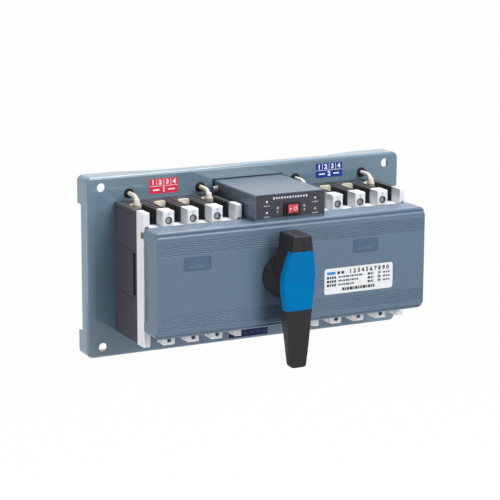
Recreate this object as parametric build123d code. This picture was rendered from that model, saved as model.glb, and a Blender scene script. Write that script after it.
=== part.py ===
from build123d import *
import math
import os

# Two-source transfer switch on a formed steel pan.
# Millimetres. X is to the right, Z is up and the front faces -Y. The origin is the middle of
# the pan's four mounting holes, on the pan's front face. A depth is a distance in front of
# that face, so a depth of 60 lies at Y = -60.

# Pan
PAN_W = 403
PAN_H = 207.6
PAN_T = 2.2
PAN_DEEP = 25
PAN_SHALLOW = 15
PAN_CORNER_R = 7
PAN_EDGE_R = 3.2
BOLT_DX = 366
BOLT_DZ = 183.6
BOLT_R = 5
FOOT_INNER_X = 110
FOOT_OUTER_X = 153
FOOT_TOP_Z = 72
FOOT_LOW_Z = -74.5

# Circuit breakers: BREAKER_X is half the distance between their middles, and the shift moves
# both of them to the side of the pan's middle
POLE_PITCH = 29.5
POLES = 4
BREAKER_X = 105.8
BREAKER_SHIFT = -1.1
BREAKER_W = 119.8
BASE_H = 149
BASE_DEPTH = 60
COVER_H = 151
COVER_DEPTH = 78
POCKET_W = 16.4
POCKET_FLOOR_Z = 58
POCKET_BACK = 20
TERMINAL_Z = 66
TERMINAL_T = 3
TERMINAL_TOP = 75.5
POST_SCREW_Z = 65
LOW_SCREW_Z = -70
CORNER_SCREW_X = 56
CORNER_SCREW_Z = 58.5

# Toggles: TOGGLE_DX is from the breaker's middle
TOGGLE_DX = -13.65
TOGGLE_PIVOT = 50
TOGGLE_TIP = 97
TOGGLE_HALF_W = 6
TOGGLE_PIN_R = 3
CAVITY_HALF_W = 9.5
CAVITY_HALF_H = 24.5
CAVITY_BACK = 36

# Rack drive
MODULE = 1.5
TEETH = 20
PRESSURE = math.radians(20)
BACKLASH = 0.1
SHAFT_X = BREAKER_SHIFT + TOGGLE_DX
TURN = 90
SHAFT_R = 7
GEAR_BACK = 86
GEAR_FRONT = 93
PLATE_BACK = 80
PLATE_FRONT = 82
SLIDE_BACK = 87
SLIDE_FRONT = 91
RACK_TEETH = 9
GUIDE_X = (43, 83)
GUIDE_R = 3
RUNNING = 0.1
STANDOFF_X = 37
STANDOFF_Z = 43
GEARBOX_SCREW = 21
GEARBOX_BACK = 54

# Front cover
COVER_W = 339
COVER_TOP = 60
COVER_BOTTOM = -58.6
COVER_FRONT = 116
COVER_RIM = 113.2
COVER_TOP_BACK = 83
COVER_SIDE_BACK = 93.5
HOOK_BACK = 84
HOOK_TOP_Z = 47
HOOK_LOW_Z = -45
COVER_WALL = 2.2
GROOVES = 7
GROOVE_PITCH = 2.2
RECESS_XS = (-119.8, 90.2)
RECESS_Z = 23

# Handle
HUB_R = 25.8
HUB_BACK = 116.8
LEVER_BACK = 141
LEVER_FRONT = 155
BLOCK_BACK = 128
BLOCK_FRONT = 162
LEVER_TOP = 52.5
LEVER_TIP = -97.6
INSERT_TOP = 35.2
INSERT_BOTTOM = -32.4
INSERT_DEPTH = 10
INSERT_WALL = 2

# Control box
BOX_HALF_W = 43.7
BOX_BOTTOM = 60.3
BOX_TOP = 89.4
BOX_FRONT = 104
PANEL_FACE = 103.5
BOX_WALL = 1.2
BOARD_Z = 66
ROCKER_X = 2
ROCKER_Z = 71
ROCKER_PIVOT = 99
ROCKER_TILT = 8
LAMPS = ((-29.1, 80.7), (-29.1, 68.4), (31.6, 80.8), (31.6, 68.4))
LAMP_R = 1.4
BOX_SCREW_X = 33
BOX_SCREW_Z = 73
FUSE_DEPTH = 11
FUSE_Z = 80.5

# Sensing wires: each passes the pan GROMMET_DX to the right of its lug
GROMMET_Z = 83
GROMMET_DX = 1.6
GROMMET_NECK_R = 4.2
GROMMET_FLANGE_R = 5.6
WIRE_R = 2.5
WIRE_RUN_Y = 10.5
LUG_DEPTH = 26.1
LUG_BARREL_Z = (72.6, 76.8)
LUG_BARREL_R = 3.1
LUG_HALF_W = 6.2
LONG_RUN_Z = 76

# Auxiliary terminal block
BLOCK_X = 1.5
BLOCK_WAYS = 6
BLOCK_PITCH = 8
BLOCK_TOP_Z = -60
BLOCK_H = 19

# How far a cutting shape runs past the face that it cuts
OVER = 1.0

PITCH_R = MODULE * TEETH / 2
TRAVEL = math.radians(TURN) * PITCH_R
FORK_DEPTH = (SLIDE_BACK + SLIDE_FRONT) / 2
TOGGLE_ANGLE = math.degrees(math.atan(TRAVEL / 2 / (FORK_DEPTH - TOGGLE_PIVOT)))
POLE_XS = [(i - (POLES - 1) / 2) * POLE_PITCH for i in range(POLES)]
POST_XS = [(i - (POLES - 2) / 2) * POLE_PITCH for i in range(POLES - 1)]
BREAKER_XS = (BREAKER_SHIFT - BREAKER_X, BREAKER_SHIFT + BREAKER_X)
SENSED_XS = [middle + pole for middle in BREAKER_XS for pole in (POLE_XS[0], POLE_XS[-1])]


def block(x0, x1, d0, d1, z0, z1):
    """A rectangular block between two X, two depths and two Z."""
    size = (abs(x1 - x0), abs(d1 - d0), abs(z1 - z0))
    return Pos((x0 + x1) / 2, -(d0 + d1) / 2, (z0 + z1) / 2) * Box(*size)


def from_front(sketch, d0, d1):
    """Extrude a sketch drawn as seen from the front, X across and Z up, between two depths."""
    return extrude(Plane.XZ.offset(d0) * sketch, amount=d1 - d0)


def from_side(sketch, x0, x1):
    """Extrude a sketch drawn in Y and Z between two X."""
    return extrude(Plane.YZ.offset(x0) * sketch, amount=x1 - x0)


def disc(x, z, r, d0, d1):
    """A round bar along the depth."""
    return from_front(Pos(x, z) * Circle(r), d0, d1)


def cross_bar(y, z, r, x0, x1):
    """A round bar along X."""
    return from_side(Pos(y, z) * Circle(r), x0, x1)


def hexagon(x, z, across, d0, d1):
    """A hexagonal bar along the depth, by its width across flats."""
    return from_front(Pos(x, z) * RegularPolygon(across / math.sqrt(3), 6), d0, d1)


def slot_cut(x, z, width, height, r, d0, d1):
    """A rectangle with round corners, extruded along the depth."""
    return from_front(Pos(x, z) * RectangleRounded(width, height, r), d0, d1)


def depth_edges(shape):
    """The edges that run along the depth."""
    return shape.edges().filter_by(Axis.Y)


# ---------------------------------------------------------------- pan

def foot_relief():
    """The flange's relief between the corner feet, seen from above."""
    with BuildSketch() as view:
        with BuildLine():
            Polyline((-FOOT_OUTER_X, PAN_DEEP + OVER), (-FOOT_OUTER_X, PAN_DEEP),
                     (-FOOT_INNER_X, PAN_SHALLOW), (FOOT_INNER_X, PAN_SHALLOW),
                     (FOOT_OUTER_X, PAN_DEEP), (FOOT_OUTER_X, PAN_DEEP + OVER), close=True)
        make_face()
    inner_bends = [v for v in view.sketch.vertices() if v.Y < PAN_SHALLOW + OVER]
    return fillet(inner_bends, 60)


def wire_slot(d0, d1, grow=0):
    """The opening behind the control box that the sensing wires pass through."""
    z = (GROMMET_Z + LONG_RUN_Z) / 2
    return slot_cut(0, z, 40 + 2 * grow, 14 + 2 * grow, 5, d0, d1)


def base_pan():
    """Formed steel pan with a return flange, cut back between its four feet."""
    pan = from_front(RectangleRounded(PAN_W, PAN_H, PAN_CORNER_R), -PAN_DEEP, 0)
    front_edges = pan.faces().sort_by(Axis.Y)[0].edges()
    pan = fillet(front_edges, PAN_EDGE_R)
    hollow = from_front(RectangleRounded(PAN_W - 2 * PAN_T, PAN_H - 2 * PAN_T,
                                         PAN_CORNER_R - PAN_T), -PAN_DEEP - OVER, -PAN_T)
    hollow_front = hollow.faces().sort_by(Axis.Y)[0].edges()
    pan -= fillet(hollow_front, PAN_EDGE_R - PAN_T)
    pan -= extrude(foot_relief(), amount=PAN_H, both=True)
    side = block(-PAN_W, PAN_W, -PAN_DEEP - OVER, -PAN_SHALLOW, FOOT_LOW_Z, FOOT_TOP_Z)
    pan -= fillet(side.faces().sort_by(Axis.Y)[0].edges().filter_by(Axis.X), 1.5)
    for x in (-BOLT_DX / 2, BOLT_DX / 2):
        for z in (-BOLT_DZ / 2, BOLT_DZ / 2):
            pan -= disc(x, z, BOLT_R, -PAN_T - OVER, OVER)
    for x in SENSED_XS:
        pan -= disc(x + GROMMET_DX, GROMMET_Z, GROMMET_NECK_R, -PAN_T - OVER, OVER)
    return pan - wire_slot(-PAN_T - OVER, OVER)


def wire_grommets():
    """Rubber bushes, flanged on both sides of the pan, round each sensing wire."""
    group = []
    for x in [lug_x + GROMMET_DX for lug_x in SENSED_XS]:
        flange = disc(x, GROMMET_Z, GROMMET_FLANGE_R, 0, 2)
        rounded = chamfer(flange.faces().sort_by(Axis.Y)[0].edges(), 0.6)
        neck = disc(x, GROMMET_Z, GROMMET_NECK_R, -PAN_T, 0)
        lip = disc(x, GROMMET_Z, GROMMET_FLANGE_R - 0.6, -PAN_T - 1, -PAN_T)
        group.append(rounded + neck + lip - disc(x, GROMMET_Z, WIRE_R, -6, 4))
    return group


def wire_route(x):
    """Centre line of one sensing wire, from its lug, through the pan and into the box."""
    inward = -math.copysign(1, x)
    hole_x = x + GROMMET_DX
    points = [(x, -LUG_DEPTH, LUG_BARREL_Z[0]), (x, -LUG_DEPTH, GROMMET_Z),
              (hole_x, -6, GROMMET_Z), (hole_x, WIRE_RUN_Y, GROMMET_Z)]
    if abs(x) < BREAKER_X:
        turn_x = -inward * 14
        points += [(turn_x, WIRE_RUN_Y, GROMMET_Z), (turn_x, -12, GROMMET_Z)]
        return FilletPolyline(*points, radius=[6, 20, 6, 6])
    turn_x = -inward * 6
    points += [(x + inward * 18, WIRE_RUN_Y, LONG_RUN_Z), (turn_x, WIRE_RUN_Y, LONG_RUN_Z),
               (turn_x, -12, LONG_RUN_Z)]
    return FilletPolyline(*points, radius=[6, 20, 6, 20, 6])


def sensing_wires(side):
    """The two sleeved wires of one breaker."""
    wires = []
    for x in SENSED_XS:
        if x * side > 0:
            route = wire_route(x)
            start = Plane(origin=route @ 0, z_dir=route % 0)
            wires.append(sweep(start * Circle(WIRE_R), path=route))
    return wires


def wire_bush():
    """Rubber block that fills the opening behind the control box, with four wire holes."""
    bush = wire_slot(-PAN_T - 1.5, BOX_WALL + 1.5)
    bush += wire_slot(-PAN_T - 1.5, -PAN_T, 2)
    for side in (-1, 1):
        bush -= disc(side * 14, GROMMET_Z, WIRE_R, -9, 9)
        bush -= disc(side * 6, LONG_RUN_Z, WIRE_R, -9, 9)
    return bush


def ring_lugs():
    """Crimped ring lugs of the sensing wires, under the terminal screws."""
    group = []
    plate = POCKET_BACK + TERMINAL_T
    low, high = LUG_BARREL_Z
    for x in SENSED_XS:
        ring = disc(x, TERMINAL_Z, 5, plate, plate + 1)
        flare = Polyline((x - LUG_HALF_W, TERMINAL_Z - 4), (x + LUG_HALF_W, TERMINAL_Z - 4),
                         (x + LUG_HALF_W, TERMINAL_Z + 5), (x + LUG_BARREL_R, high),
                         (x - LUG_BARREL_R, high), (x - LUG_HALF_W, TERMINAL_Z + 5), close=True)
        tongue = from_front(make_face(flare), plate, plate + 1)
        middle = Pos(x, -LUG_DEPTH, (low + high) / 2)
        barrel = middle * Cylinder(LUG_BARREL_R, high - low)
        wire = Pos(x, -LUG_DEPTH, TERMINAL_Z) * Cylinder(WIRE_R, 60)
        group.append(ring + tongue + barrel - wire - disc(x, TERMINAL_Z, 2.5, 0, 40))
    return group


# ---------------------------------------------------------------- breakers

def pockets(d0, d1, reach):
    """Terminal pockets of one breaker, above and below, open at the outer end."""
    cut = []
    for x in POLE_XS:
        for side in (-1, 1):
            cut.append(block(x - POCKET_W / 2, x + POCKET_W / 2, d0, d1,
                             side * POCKET_FLOOR_Z, side * reach))
    return cut


def toggle_cavity(d0, d1):
    """Room inside a breaker for its toggle to swing."""
    return block(TOGGLE_DX - CAVITY_HALF_W, TOGGLE_DX + CAVITY_HALF_W, d0, d1,
                 -CAVITY_HALF_H, CAVITY_HALF_H)


def pivot_seat():
    """Round-bottomed notches that carry the toggle's pivot pins."""
    half = CAVITY_HALF_W + 4.5
    r = TOGGLE_PIN_R + RUNNING / 2
    seat = cross_bar(-TOGGLE_PIVOT, 0, r, TOGGLE_DX - half, TOGGLE_DX + half)
    return seat + block(TOGGLE_DX - half, TOGGLE_DX + half, TOGGLE_PIVOT, BASE_DEPTH + OVER, -r, r)


def breaker_screw_points():
    """Screws from a breaker's cover into its base, as X, Z and head radius."""
    points = []
    for x in POST_XS:
        points += [(x, POST_SCREW_Z, 3.6), (x, LOW_SCREW_Z, 2)]
    return points + [(x, CORNER_SCREW_Z, 1.6) for x in (-CORNER_SCREW_X, CORNER_SCREW_X)]


def breaker_base():
    """Moulded base of one four-pole breaker, centred on X = 0."""
    half_w = BREAKER_W / 2
    half_h = BASE_H / 2
    base = block(-half_w, half_w, 0, BASE_DEPTH, -half_h, half_h)
    base -= pockets(POCKET_BACK, BASE_DEPTH + OVER, half_h + OVER)
    base -= toggle_cavity(CAVITY_BACK, BASE_DEPTH + OVER)
    base -= pivot_seat()
    for x in POST_XS:
        for groove in (-3, 3):
            for side in (-1, 1):
                base -= block(x + groove - 0.8, x + groove + 0.8, -OVER, BASE_DEPTH + OVER,
                              side * (half_h - 2), side * (half_h + OVER))
    for side in (-1, 1):
        face = side * half_w
        for z in (-24.5, 29, 70):
            base -= block(face - 0.5, face + 0.5, -OVER, BASE_DEPTH - 8, z - 0.4, z + 0.4)
        base -= block(face - 2.5, face + 2.5, BASE_DEPTH - 10.5, BASE_DEPTH - 3, -21, 27)
    for x in POLE_XS:
        for z in (-TERMINAL_Z, TERMINAL_Z):
            base -= disc(x, z, 2.5, 9, POCKET_BACK + OVER)
    for x, z, head_r in breaker_screw_points():
        base -= disc(x, z, head_r / 2, 46, BASE_DEPTH + OVER)
    return base


def breaker_cover():
    """White top moulding of one breaker, with a post over each phase barrier."""
    half_w = BREAKER_W / 2
    half_h = COVER_H / 2
    cover = block(-half_w, half_w, BASE_DEPTH, COVER_DEPTH, -half_h, half_h)
    cover = fillet(cover.faces().sort_by(Axis.Y)[0].edges(), 1)
    cover -= pockets(BASE_DEPTH - OVER, COVER_DEPTH + OVER, half_h + OVER)
    cover -= toggle_cavity(BASE_DEPTH - OVER, COVER_DEPTH - 2)
    cover -= slot_cut(TOGGLE_DX, 0, 2 * TOGGLE_HALF_W + 2, 33, 2, BASE_DEPTH, COVER_DEPTH + OVER)
    for x, z, head_r in breaker_screw_points():
        cover -= disc(x, z, head_r + 0.6, 70, COVER_DEPTH + OVER)
        cover -= disc(x, z, head_r / 2, BASE_DEPTH - OVER, 71)
    for x in POST_XS:
        for face in (x - 6, x + 6):
            for depth in (63.5, 67.5, 71.5):
                for side in (-1, 1):
                    cover -= block(face - 0.5, face + 0.5, depth, depth + 1.6,
                                   side * (POCKET_FLOOR_Z + 2), side * (half_h - 2.5))
    return cover


def toggle():
    """Breaker toggle with its pivot pins and the curved shield that fills the slot."""
    x0 = TOGGLE_DX
    lever = Polyline((-TOGGLE_PIVOT, -6), (-TOGGLE_TIP, -3.8), (-TOGGLE_TIP, 3.8),
                     (-TOGGLE_PIVOT, 6), close=True)
    stem = from_side(make_face(lever), x0 - TOGGLE_HALF_W, x0 + TOGGLE_HALF_W)
    stem = fillet(stem.faces().sort_by(Axis.Y)[0].edges(), 1.5)
    barrel = cross_bar(-TOGGLE_PIVOT, 0, 8, x0 - 8, x0 + 8)
    pins = cross_bar(-TOGGLE_PIVOT, 0, TOGGLE_PIN_R, x0 - 13.5, x0 + 13.5)
    ring = cross_bar(-TOGGLE_PIVOT, 0, 25.5, x0 - 8.5, x0 + 8.5)
    ring -= cross_bar(-TOGGLE_PIVOT, 0, 24, x0 - 9, x0 + 9)
    reach = 40
    wedge = Polyline((-TOGGLE_PIVOT, 0), (-TOGGLE_PIVOT - reach, -reach * math.tan(math.radians(41))),
                     (-TOGGLE_PIVOT - reach, reach * math.tan(math.radians(41))), close=True)
    shield = ring & from_side(make_face(wedge), x0 - 9, x0 + 9)
    return stem + barrel + pins + shield


def tilted_toggle(side):
    """The toggle at rest: up on the left breaker, down on the right one."""
    pivot = Pos(0, -TOGGLE_PIVOT, 0)
    back = Pos(0, TOGGLE_PIVOT, 0)
    return pivot * Rot(side * TOGGLE_ANGLE, 0, 0) * back * toggle()


def terminals(side):
    """Tinned terminal plates of one breaker, on the line side (1) or load side (-1)."""
    plates = []
    for x in POLE_XS:
        z0 = side * POCKET_FLOOR_Z
        z1 = side * TERMINAL_TOP
        plate = block(x - 7, x + 7, POCKET_BACK, POCKET_BACK + TERMINAL_T, z0, z1)
        outer = plate.edges().filter_by(Axis.Y).sort_by(lambda e: -side * e.center().Z)[:2]
        plate = fillet(outer, 2.5)
        plates.append(plate - disc(x, side * TERMINAL_Z, 2.5, 0, 40))
    return plates


def terminal_screws():
    """Terminal screws and their washers; a sensed pole has a thinner stack under its lug."""
    screws = []
    seat = POCKET_BACK + TERMINAL_T
    for x in POLE_XS:
        for side in (-1, 1):
            z = side * TERMINAL_Z
            lugged = side > 0 and x in (POLE_XS[0], POLE_XS[-1])
            washer = disc(x, z, 5, seat + (1 if lugged else 0), seat + 2)
            head = disc(x, z, 4.2, seat + 2, seat + 5.5)
            slot = block(x - 5, x + 5, seat + 4.3, seat + 6, z - 0.5, z + 0.5)
            screws.append(washer + head + disc(x, z, 2.5, 10, seat + 2) - slot)
    return screws


def post_screws():
    """Screws that hold a breaker's cover to its base, sunk in the posts and the corners."""
    screws = []
    for x, z, head_r in breaker_screw_points():
        head = disc(x, z, head_r, 70, 77)
        slot = block(x - 4, x + 4, 76, 78, z - 0.5, z + 0.5)
        screws.append(head + disc(x, z, head_r / 2, 47, 70) - slot)
    return screws


# ---------------------------------------------------------------- rack drive

def involute(angle):
    return math.tan(angle) - angle


def tooth_half_angle(r):
    """Half the angle that a pinion tooth covers at radius r."""
    base_r = PITCH_R * math.cos(PRESSURE)
    at_pitch = (math.pi * MODULE / 2 - BACKLASH) / 2 / PITCH_R
    here = math.acos(min(1, base_r / r))
    return at_pitch + involute(PRESSURE) - involute(here)


def drive_pinion():
    """Spur pinion with involute flanks, bored for the handle shaft."""
    base_r = PITCH_R * math.cos(PRESSURE)
    root_r = PITCH_R - 1.25 * MODULE
    outer_r = PITCH_R + MODULE
    mid_r = (base_r + outer_r) / 2

    def flank(r, side):
        half = side * tooth_half_angle(r)
        return (r * math.cos(half), r * math.sin(half))

    inner_x = (root_r - 0.5) * math.cos(tooth_half_angle(base_r))
    inner_y = (root_r - 0.5) * math.sin(tooth_half_angle(base_r))
    with BuildSketch() as tooth:
        with BuildLine():
            Line((inner_x, -inner_y), flank(base_r, -1))
            ThreePointArc(flank(base_r, -1), flank(mid_r, -1), flank(outer_r, -1))
            ThreePointArc(flank(outer_r, -1), (outer_r, 0), flank(outer_r, 1))
            ThreePointArc(flank(outer_r, 1), flank(mid_r, 1), flank(base_r, 1))
            Line(flank(base_r, 1), (inner_x, inner_y))
            Line((inner_x, inner_y), (inner_x, -inner_y))
        make_face()
    outline = Circle(root_r)
    for i in range(TEETH):
        outline += Rot(0, 0, 360 / TEETH * i) * tooth.sketch
    outline -= Circle(SHAFT_R)
    return from_front(Pos(SHAFT_X, 0) * outline, GEAR_BACK, GEAR_FRONT)


def rack_outline():
    """One rack bar as seen from the front, teeth towards +X, pitch line on X = 0."""
    pitch = math.pi * MODULE
    lean = math.tan(PRESSURE)
    dedendum = 1.25 * MODULE
    half = (pitch / 2 - BACKLASH) / 2
    length = RACK_TEETH * pitch
    bar = Pos(-dedendum - 4, 0) * Rectangle(8, length)
    for i in range(RACK_TEETH):
        z = (i - (RACK_TEETH - 1) / 2) * pitch
        tooth = Polyline((-dedendum, z - half - dedendum * lean), (MODULE, z - half + MODULE * lean),
                         (MODULE, z + half - MODULE * lean), (-dedendum, z + half + dedendum * lean),
                         close=True)
        bar += make_face(tooth)
    return bar


def drive_slide():
    """Left slide about the shaft axis: rack, slotted arm and the fork round a toggle."""
    fork_x = -BREAKER_X
    rack = from_front(Pos(-PITCH_R, 0) * rack_outline(), GEAR_BACK, GEAR_FRONT)
    near = -PITCH_R - 8
    half_h = TRAVEL / 2 + GUIDE_R + 4
    tip = fork_x + 10
    outline = Polyline((near, half_h), (-GUIDE_X[1] - 9, half_h), (tip, 12), (tip, -12),
                       (-GUIDE_X[1] - 9, -half_h), (near, -half_h), close=True)
    arm = from_front(make_face(outline), SLIDE_BACK, SLIDE_FRONT)
    fork = slot_cut(fork_x, 0, 21, 24, 3, SLIDE_BACK, SLIDE_FRONT)
    slide = rack + arm + fork
    slide -= slot_cut(fork_x, 0, 2 * TOGGLE_HALF_W + 1, 10.8, 1, SLIDE_BACK - 1, SLIDE_FRONT + 1)
    for x in GUIDE_X:
        width = 2 * (GUIDE_R + RUNNING)
        height = TRAVEL + width + 1
        slide -= from_front(Pos(-x, 0) * Rot(0, 0, 90) * SlotOverall(height, width),
                            SLIDE_BACK - 1, SLIDE_FRONT + 1)
    return slide


def placed_slide(side):
    """A slide at rest: the left one raised half its travel, the right one lowered."""
    slide = drive_slide() if side < 0 else mirror(drive_slide(), about=Plane.YZ)
    return Pos(SHAFT_X, 0, -side * TRAVEL / 2) * slide


def guide_screws():
    """Shoulder screws that carry the slides: spacer collar, neck in the slot and wide head."""
    screws = []
    for side in (-1, 1):
        for distance in GUIDE_X:
            x = SHAFT_X + side * distance
            collar = disc(x, 0, 5.2, PLATE_FRONT, SLIDE_BACK - 0.2)
            neck = disc(x, 0, GUIDE_R, PLATE_BACK - 1.5, SLIDE_FRONT + 0.2)
            head = disc(x, 0, 5.2, SLIDE_FRONT + 0.2, SLIDE_FRONT + 3)
            screws.append(collar + neck + head)
    return screws


def switch_places():
    """Middle X of the two limit switches, one over each slide."""
    return (SHAFT_X - 70, SHAFT_X + 70)


def limit_switches():
    """Micro switches on the plate above the slides, with button and tag terminals."""
    group = []
    low = TRAVEL + GUIDE_R + 5.3
    for x in switch_places():
        body = block(x - 10, x + 10, PLATE_FRONT, PLATE_FRONT + 8, low, low + 11)
        body = fillet(depth_edges(body), 1)
        body += block(x - 4, x - 1, PLATE_FRONT + 3, PLATE_FRONT + 6, low - 1, low)
        for tag in (-7, 0, 7):
            body += block(x + tag - 1.2, x + tag + 1.2, PLATE_FRONT + 4, PLATE_FRONT + 4.8,
                          low + 11, low + 15)
        group.append(body - disc(x - 6.5, low + 8, 1.2, 80, 99) - disc(x + 6.5, low + 3, 1.2, 80, 99))
    return group


def plate_points():
    return [(x, z) for x in (-STANDOFF_X, STANDOFF_X) for z in (-STANDOFF_Z, STANDOFF_Z)]


def gearbox_points():
    return [(SHAFT_X + x, z) for x in (-GEARBOX_SCREW, GEARBOX_SCREW)
            for z in (-GEARBOX_SCREW, GEARBOX_SCREW)]


def mechanism_plate():
    """Steel plate over both breakers, with toggle windows and bent ears under the cover."""
    outline = RectangleRounded(300, 100, 4)
    plate = from_front(outline, PLATE_BACK, PLATE_FRONT)
    for side in (-1, 1):
        ear_x = side * (COVER_W / 2 - 7)
        ear_z = COVER_BOTTOM + COVER_WALL
        plate += block(side * 140, ear_x, PLATE_BACK, PLATE_FRONT, ear_z, -40)
        plate += block(ear_x - side * 12, ear_x, PLATE_BACK, PLATE_FRONT + 16, ear_z, ear_z + 2)
        plate -= slot_cut(side * BREAKER_X + SHAFT_X, 0, 22, 46, 3, 70, 99)
    for x, z in plate_points():
        plate -= disc(x, z, 2.1, 70, 99)
    for x, z in gearbox_points():
        plate -= disc(x, z, 2.1, 70, 99)
    for side in (-1, 1):
        for distance in GUIDE_X:
            plate -= disc(SHAFT_X + side * distance, 0, GUIDE_R, 70, 99)
        plate -= cover_screw(side)
    return plate - disc(SHAFT_X, 0, SHAFT_R + 1, 70, 99)


def plate_standoffs():
    """Hexagonal posts from the pan to the mechanism plate."""
    posts = []
    for x, z in plate_points():
        posts.append(hexagon(x, z, 8, 0, PLATE_BACK) - disc(x, z, 2.1, PLATE_BACK - 12, 99))
    return posts


def pan_head_screws(points, d_seat, r, head_r, head_h, length):
    """Screws seated at one depth, heads to the front."""
    screws = []
    for x, z in points:
        head = disc(x, z, head_r, d_seat, d_seat + head_h)
        screws.append(head + disc(x, z, r, d_seat - length, d_seat))
    return screws


def gearbox_housing():
    """Die-cast reduction box behind the plate, with corner bosses and an output bore."""
    outline = Pos(SHAFT_X, 0) * RectangleRounded(54, 54, 7)
    body = from_front(outline, GEARBOX_BACK, PLATE_BACK)
    body = fillet(body.faces().sort_by(Axis.Y)[-1].edges(), 3)
    waist = from_front(Pos(SHAFT_X, 0) * RectangleRounded(56, 56, 7), 64, 66.5)
    body += waist
    for x, z in gearbox_points():
        body -= disc(x, z, 2.1, PLATE_BACK - 10, 99)
    return body - disc(SHAFT_X, 0, SHAFT_R + RUNNING / 2, GEARBOX_BACK + 6, 99)


def gear_motor():
    """Motor can on the back of the gearbox, with end boss and two tag terminals."""
    d0 = 8
    can = disc(SHAFT_X, 0, 18, d0, GEARBOX_BACK)
    can = fillet(can.faces().sort_by(Axis.Y)[-1].edges(), 2)
    can += disc(SHAFT_X, 0, 5, d0 - 3, d0)
    for x in (-10, 10):
        can += block(SHAFT_X + x - 1.5, SHAFT_X + x + 1.5, d0 - 5, d0, -0.4, 0.4)
    can -= from_front(Pos(SHAFT_X, 0) * (Circle(19) - Circle(17.4)), 44, 46)
    return can


def handle_shaft():
    """Shaft from the gearbox to the handle: round through the pinion, square in the hub."""
    shaft = disc(SHAFT_X, 0, SHAFT_R, 61, 119)
    square = from_front(Pos(SHAFT_X, 0) * Rectangle(9.6, 9.6), 119, 146)
    square = chamfer(depth_edges(square), 0.6)
    shaft = shaft + square - disc(SHAFT_X, 0, 2.5, 128, 147)
    return shaft


# ---------------------------------------------------------------- front cover

def side_wall_cut():
    """What is cut from the back of each end wall, leaving a hook at the top and bottom."""
    slope = 3.5
    with BuildSketch() as view:
        with BuildLine():
            Polyline((-60, COVER_TOP + 5), (-HOOK_BACK - 2, COVER_TOP + 5), (-HOOK_BACK - 2, COVER_TOP),
                     (-HOOK_BACK, COVER_TOP - 4), (-HOOK_BACK, HOOK_TOP_Z),
                     (-COVER_SIDE_BACK, HOOK_TOP_Z - slope), (-COVER_SIDE_BACK, HOOK_LOW_Z + slope),
                     (-HOOK_BACK, HOOK_LOW_Z), (-HOOK_BACK, COVER_BOTTOM - 5),
                     (-60, COVER_BOTTOM - 5), close=True)
        make_face()
        corners = [v for v in view.sketch.vertices()
                   if v.X < OVER - HOOK_BACK and HOOK_LOW_Z - OVER < v.Y < HOOK_TOP_Z + OVER]
        fillet(corners, 1.2)
    return view.sketch


def cover_screw(side):
    """Small upright screw through the cover's bottom wall into the plate's ear."""
    x = side * (COVER_W / 2 - 12)
    depth = 93
    shank = Pos(x, -depth, COVER_BOTTOM + 3) * Cylinder(1.2, 8)
    head = Pos(x, -depth, COVER_BOTTOM - 0.9) * Cylinder(2.2, 1.8)
    return shank + head


def front_cover():
    """Moulded front cover with a stepped top and bottom edge and two fields of grooves."""
    half_w = COVER_W / 2
    rim = from_front(Pos(0, (COVER_TOP + COVER_BOTTOM) / 2)
                     * RectangleRounded(COVER_W, COVER_TOP - COVER_BOTTOM, 6), 76, COVER_RIM)
    rim = fillet(rim.faces().sort_by(Axis.Y)[0].edges(), 2)
    top = COVER_TOP - 5.2
    bottom = COVER_BOTTOM + 4.4
    pad = from_front(Pos(0, (top + bottom) / 2)
                     * RectangleRounded(COVER_W - 1, top - bottom, 3.6), COVER_RIM - 6, COVER_FRONT)
    pad = fillet(pad.faces().sort_by(Axis.Y)[0].edges(), 1.4)
    cover = rim + pad
    cove_r = 1.1
    for z in (top + 0.9, bottom - 0.9):
        cover -= cross_bar(-COVER_RIM - 0.4, z, cove_r, -half_w - 1, half_w + 1)
    inner = from_front(Pos(0, (COVER_TOP + COVER_BOTTOM) / 2)
                       * RectangleRounded(COVER_W - 2 * COVER_WALL,
                                          COVER_TOP - COVER_BOTTOM - 2 * COVER_WALL, 2.5),
                       70, COVER_RIM - COVER_WALL)
    cover -= inner
    for i in range(GROOVES):
        for z in (47.4 - i * GROOVE_PITCH, -47.8 + i * GROOVE_PITCH):
            cover -= from_side(Pos(-COVER_FRONT, z) * Rot(0, 0, 45) * Rectangle(1, 1),
                               -half_w + 2.4, half_w - 2.4)
    for x in RECESS_XS:
        cover -= slot_cut(x, RECESS_Z, 33, 15.4, 2, COVER_FRONT - 0.7, COVER_FRONT + 1)
    for x0 in (-half_w - 1, half_w - 6):
        cover -= from_side(side_wall_cut(), x0, x0 + 7)
    cover -= block(-half_w + 6, half_w - 6, 70, COVER_TOP_BACK, COVER_TOP - 6, COVER_TOP + 2)
    cover -= block(-half_w + 6, half_w - 6, 70, COVER_TOP_BACK + 6, COVER_BOTTOM - 2, COVER_BOTTOM + 6)
    for side in (-1, 1):
        cover -= cover_screw(side)
    return cover - disc(SHAFT_X, 0, 13, 100, 120)


def cover_clips():
    """Brass spring clips on the breakers' flanks behind the cover's upper hooks."""
    clips = []
    for side in (-1, 1):
        face = BREAKER_SHIFT + side * (BREAKER_X + BREAKER_W / 2)
        clip = block(face, face + side * 0.8, 73, 81, 47.5, 54)
        clips.append(clip + block(face, face + side * 1.6, 75, 76, 47.5, 54))
    return clips


def shaft_bush():
    """Flanged bush in the cover that steadies the shaft behind the handle."""
    bush = disc(SHAFT_X, 0, 13, COVER_RIM - 6, COVER_FRONT)
    bush += disc(SHAFT_X, 0, 18, COVER_FRONT, COVER_FRONT + 2)
    return bush - disc(SHAFT_X, 0, SHAFT_R + RUNNING / 2, 100, 120)


# ---------------------------------------------------------------- handle

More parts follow.
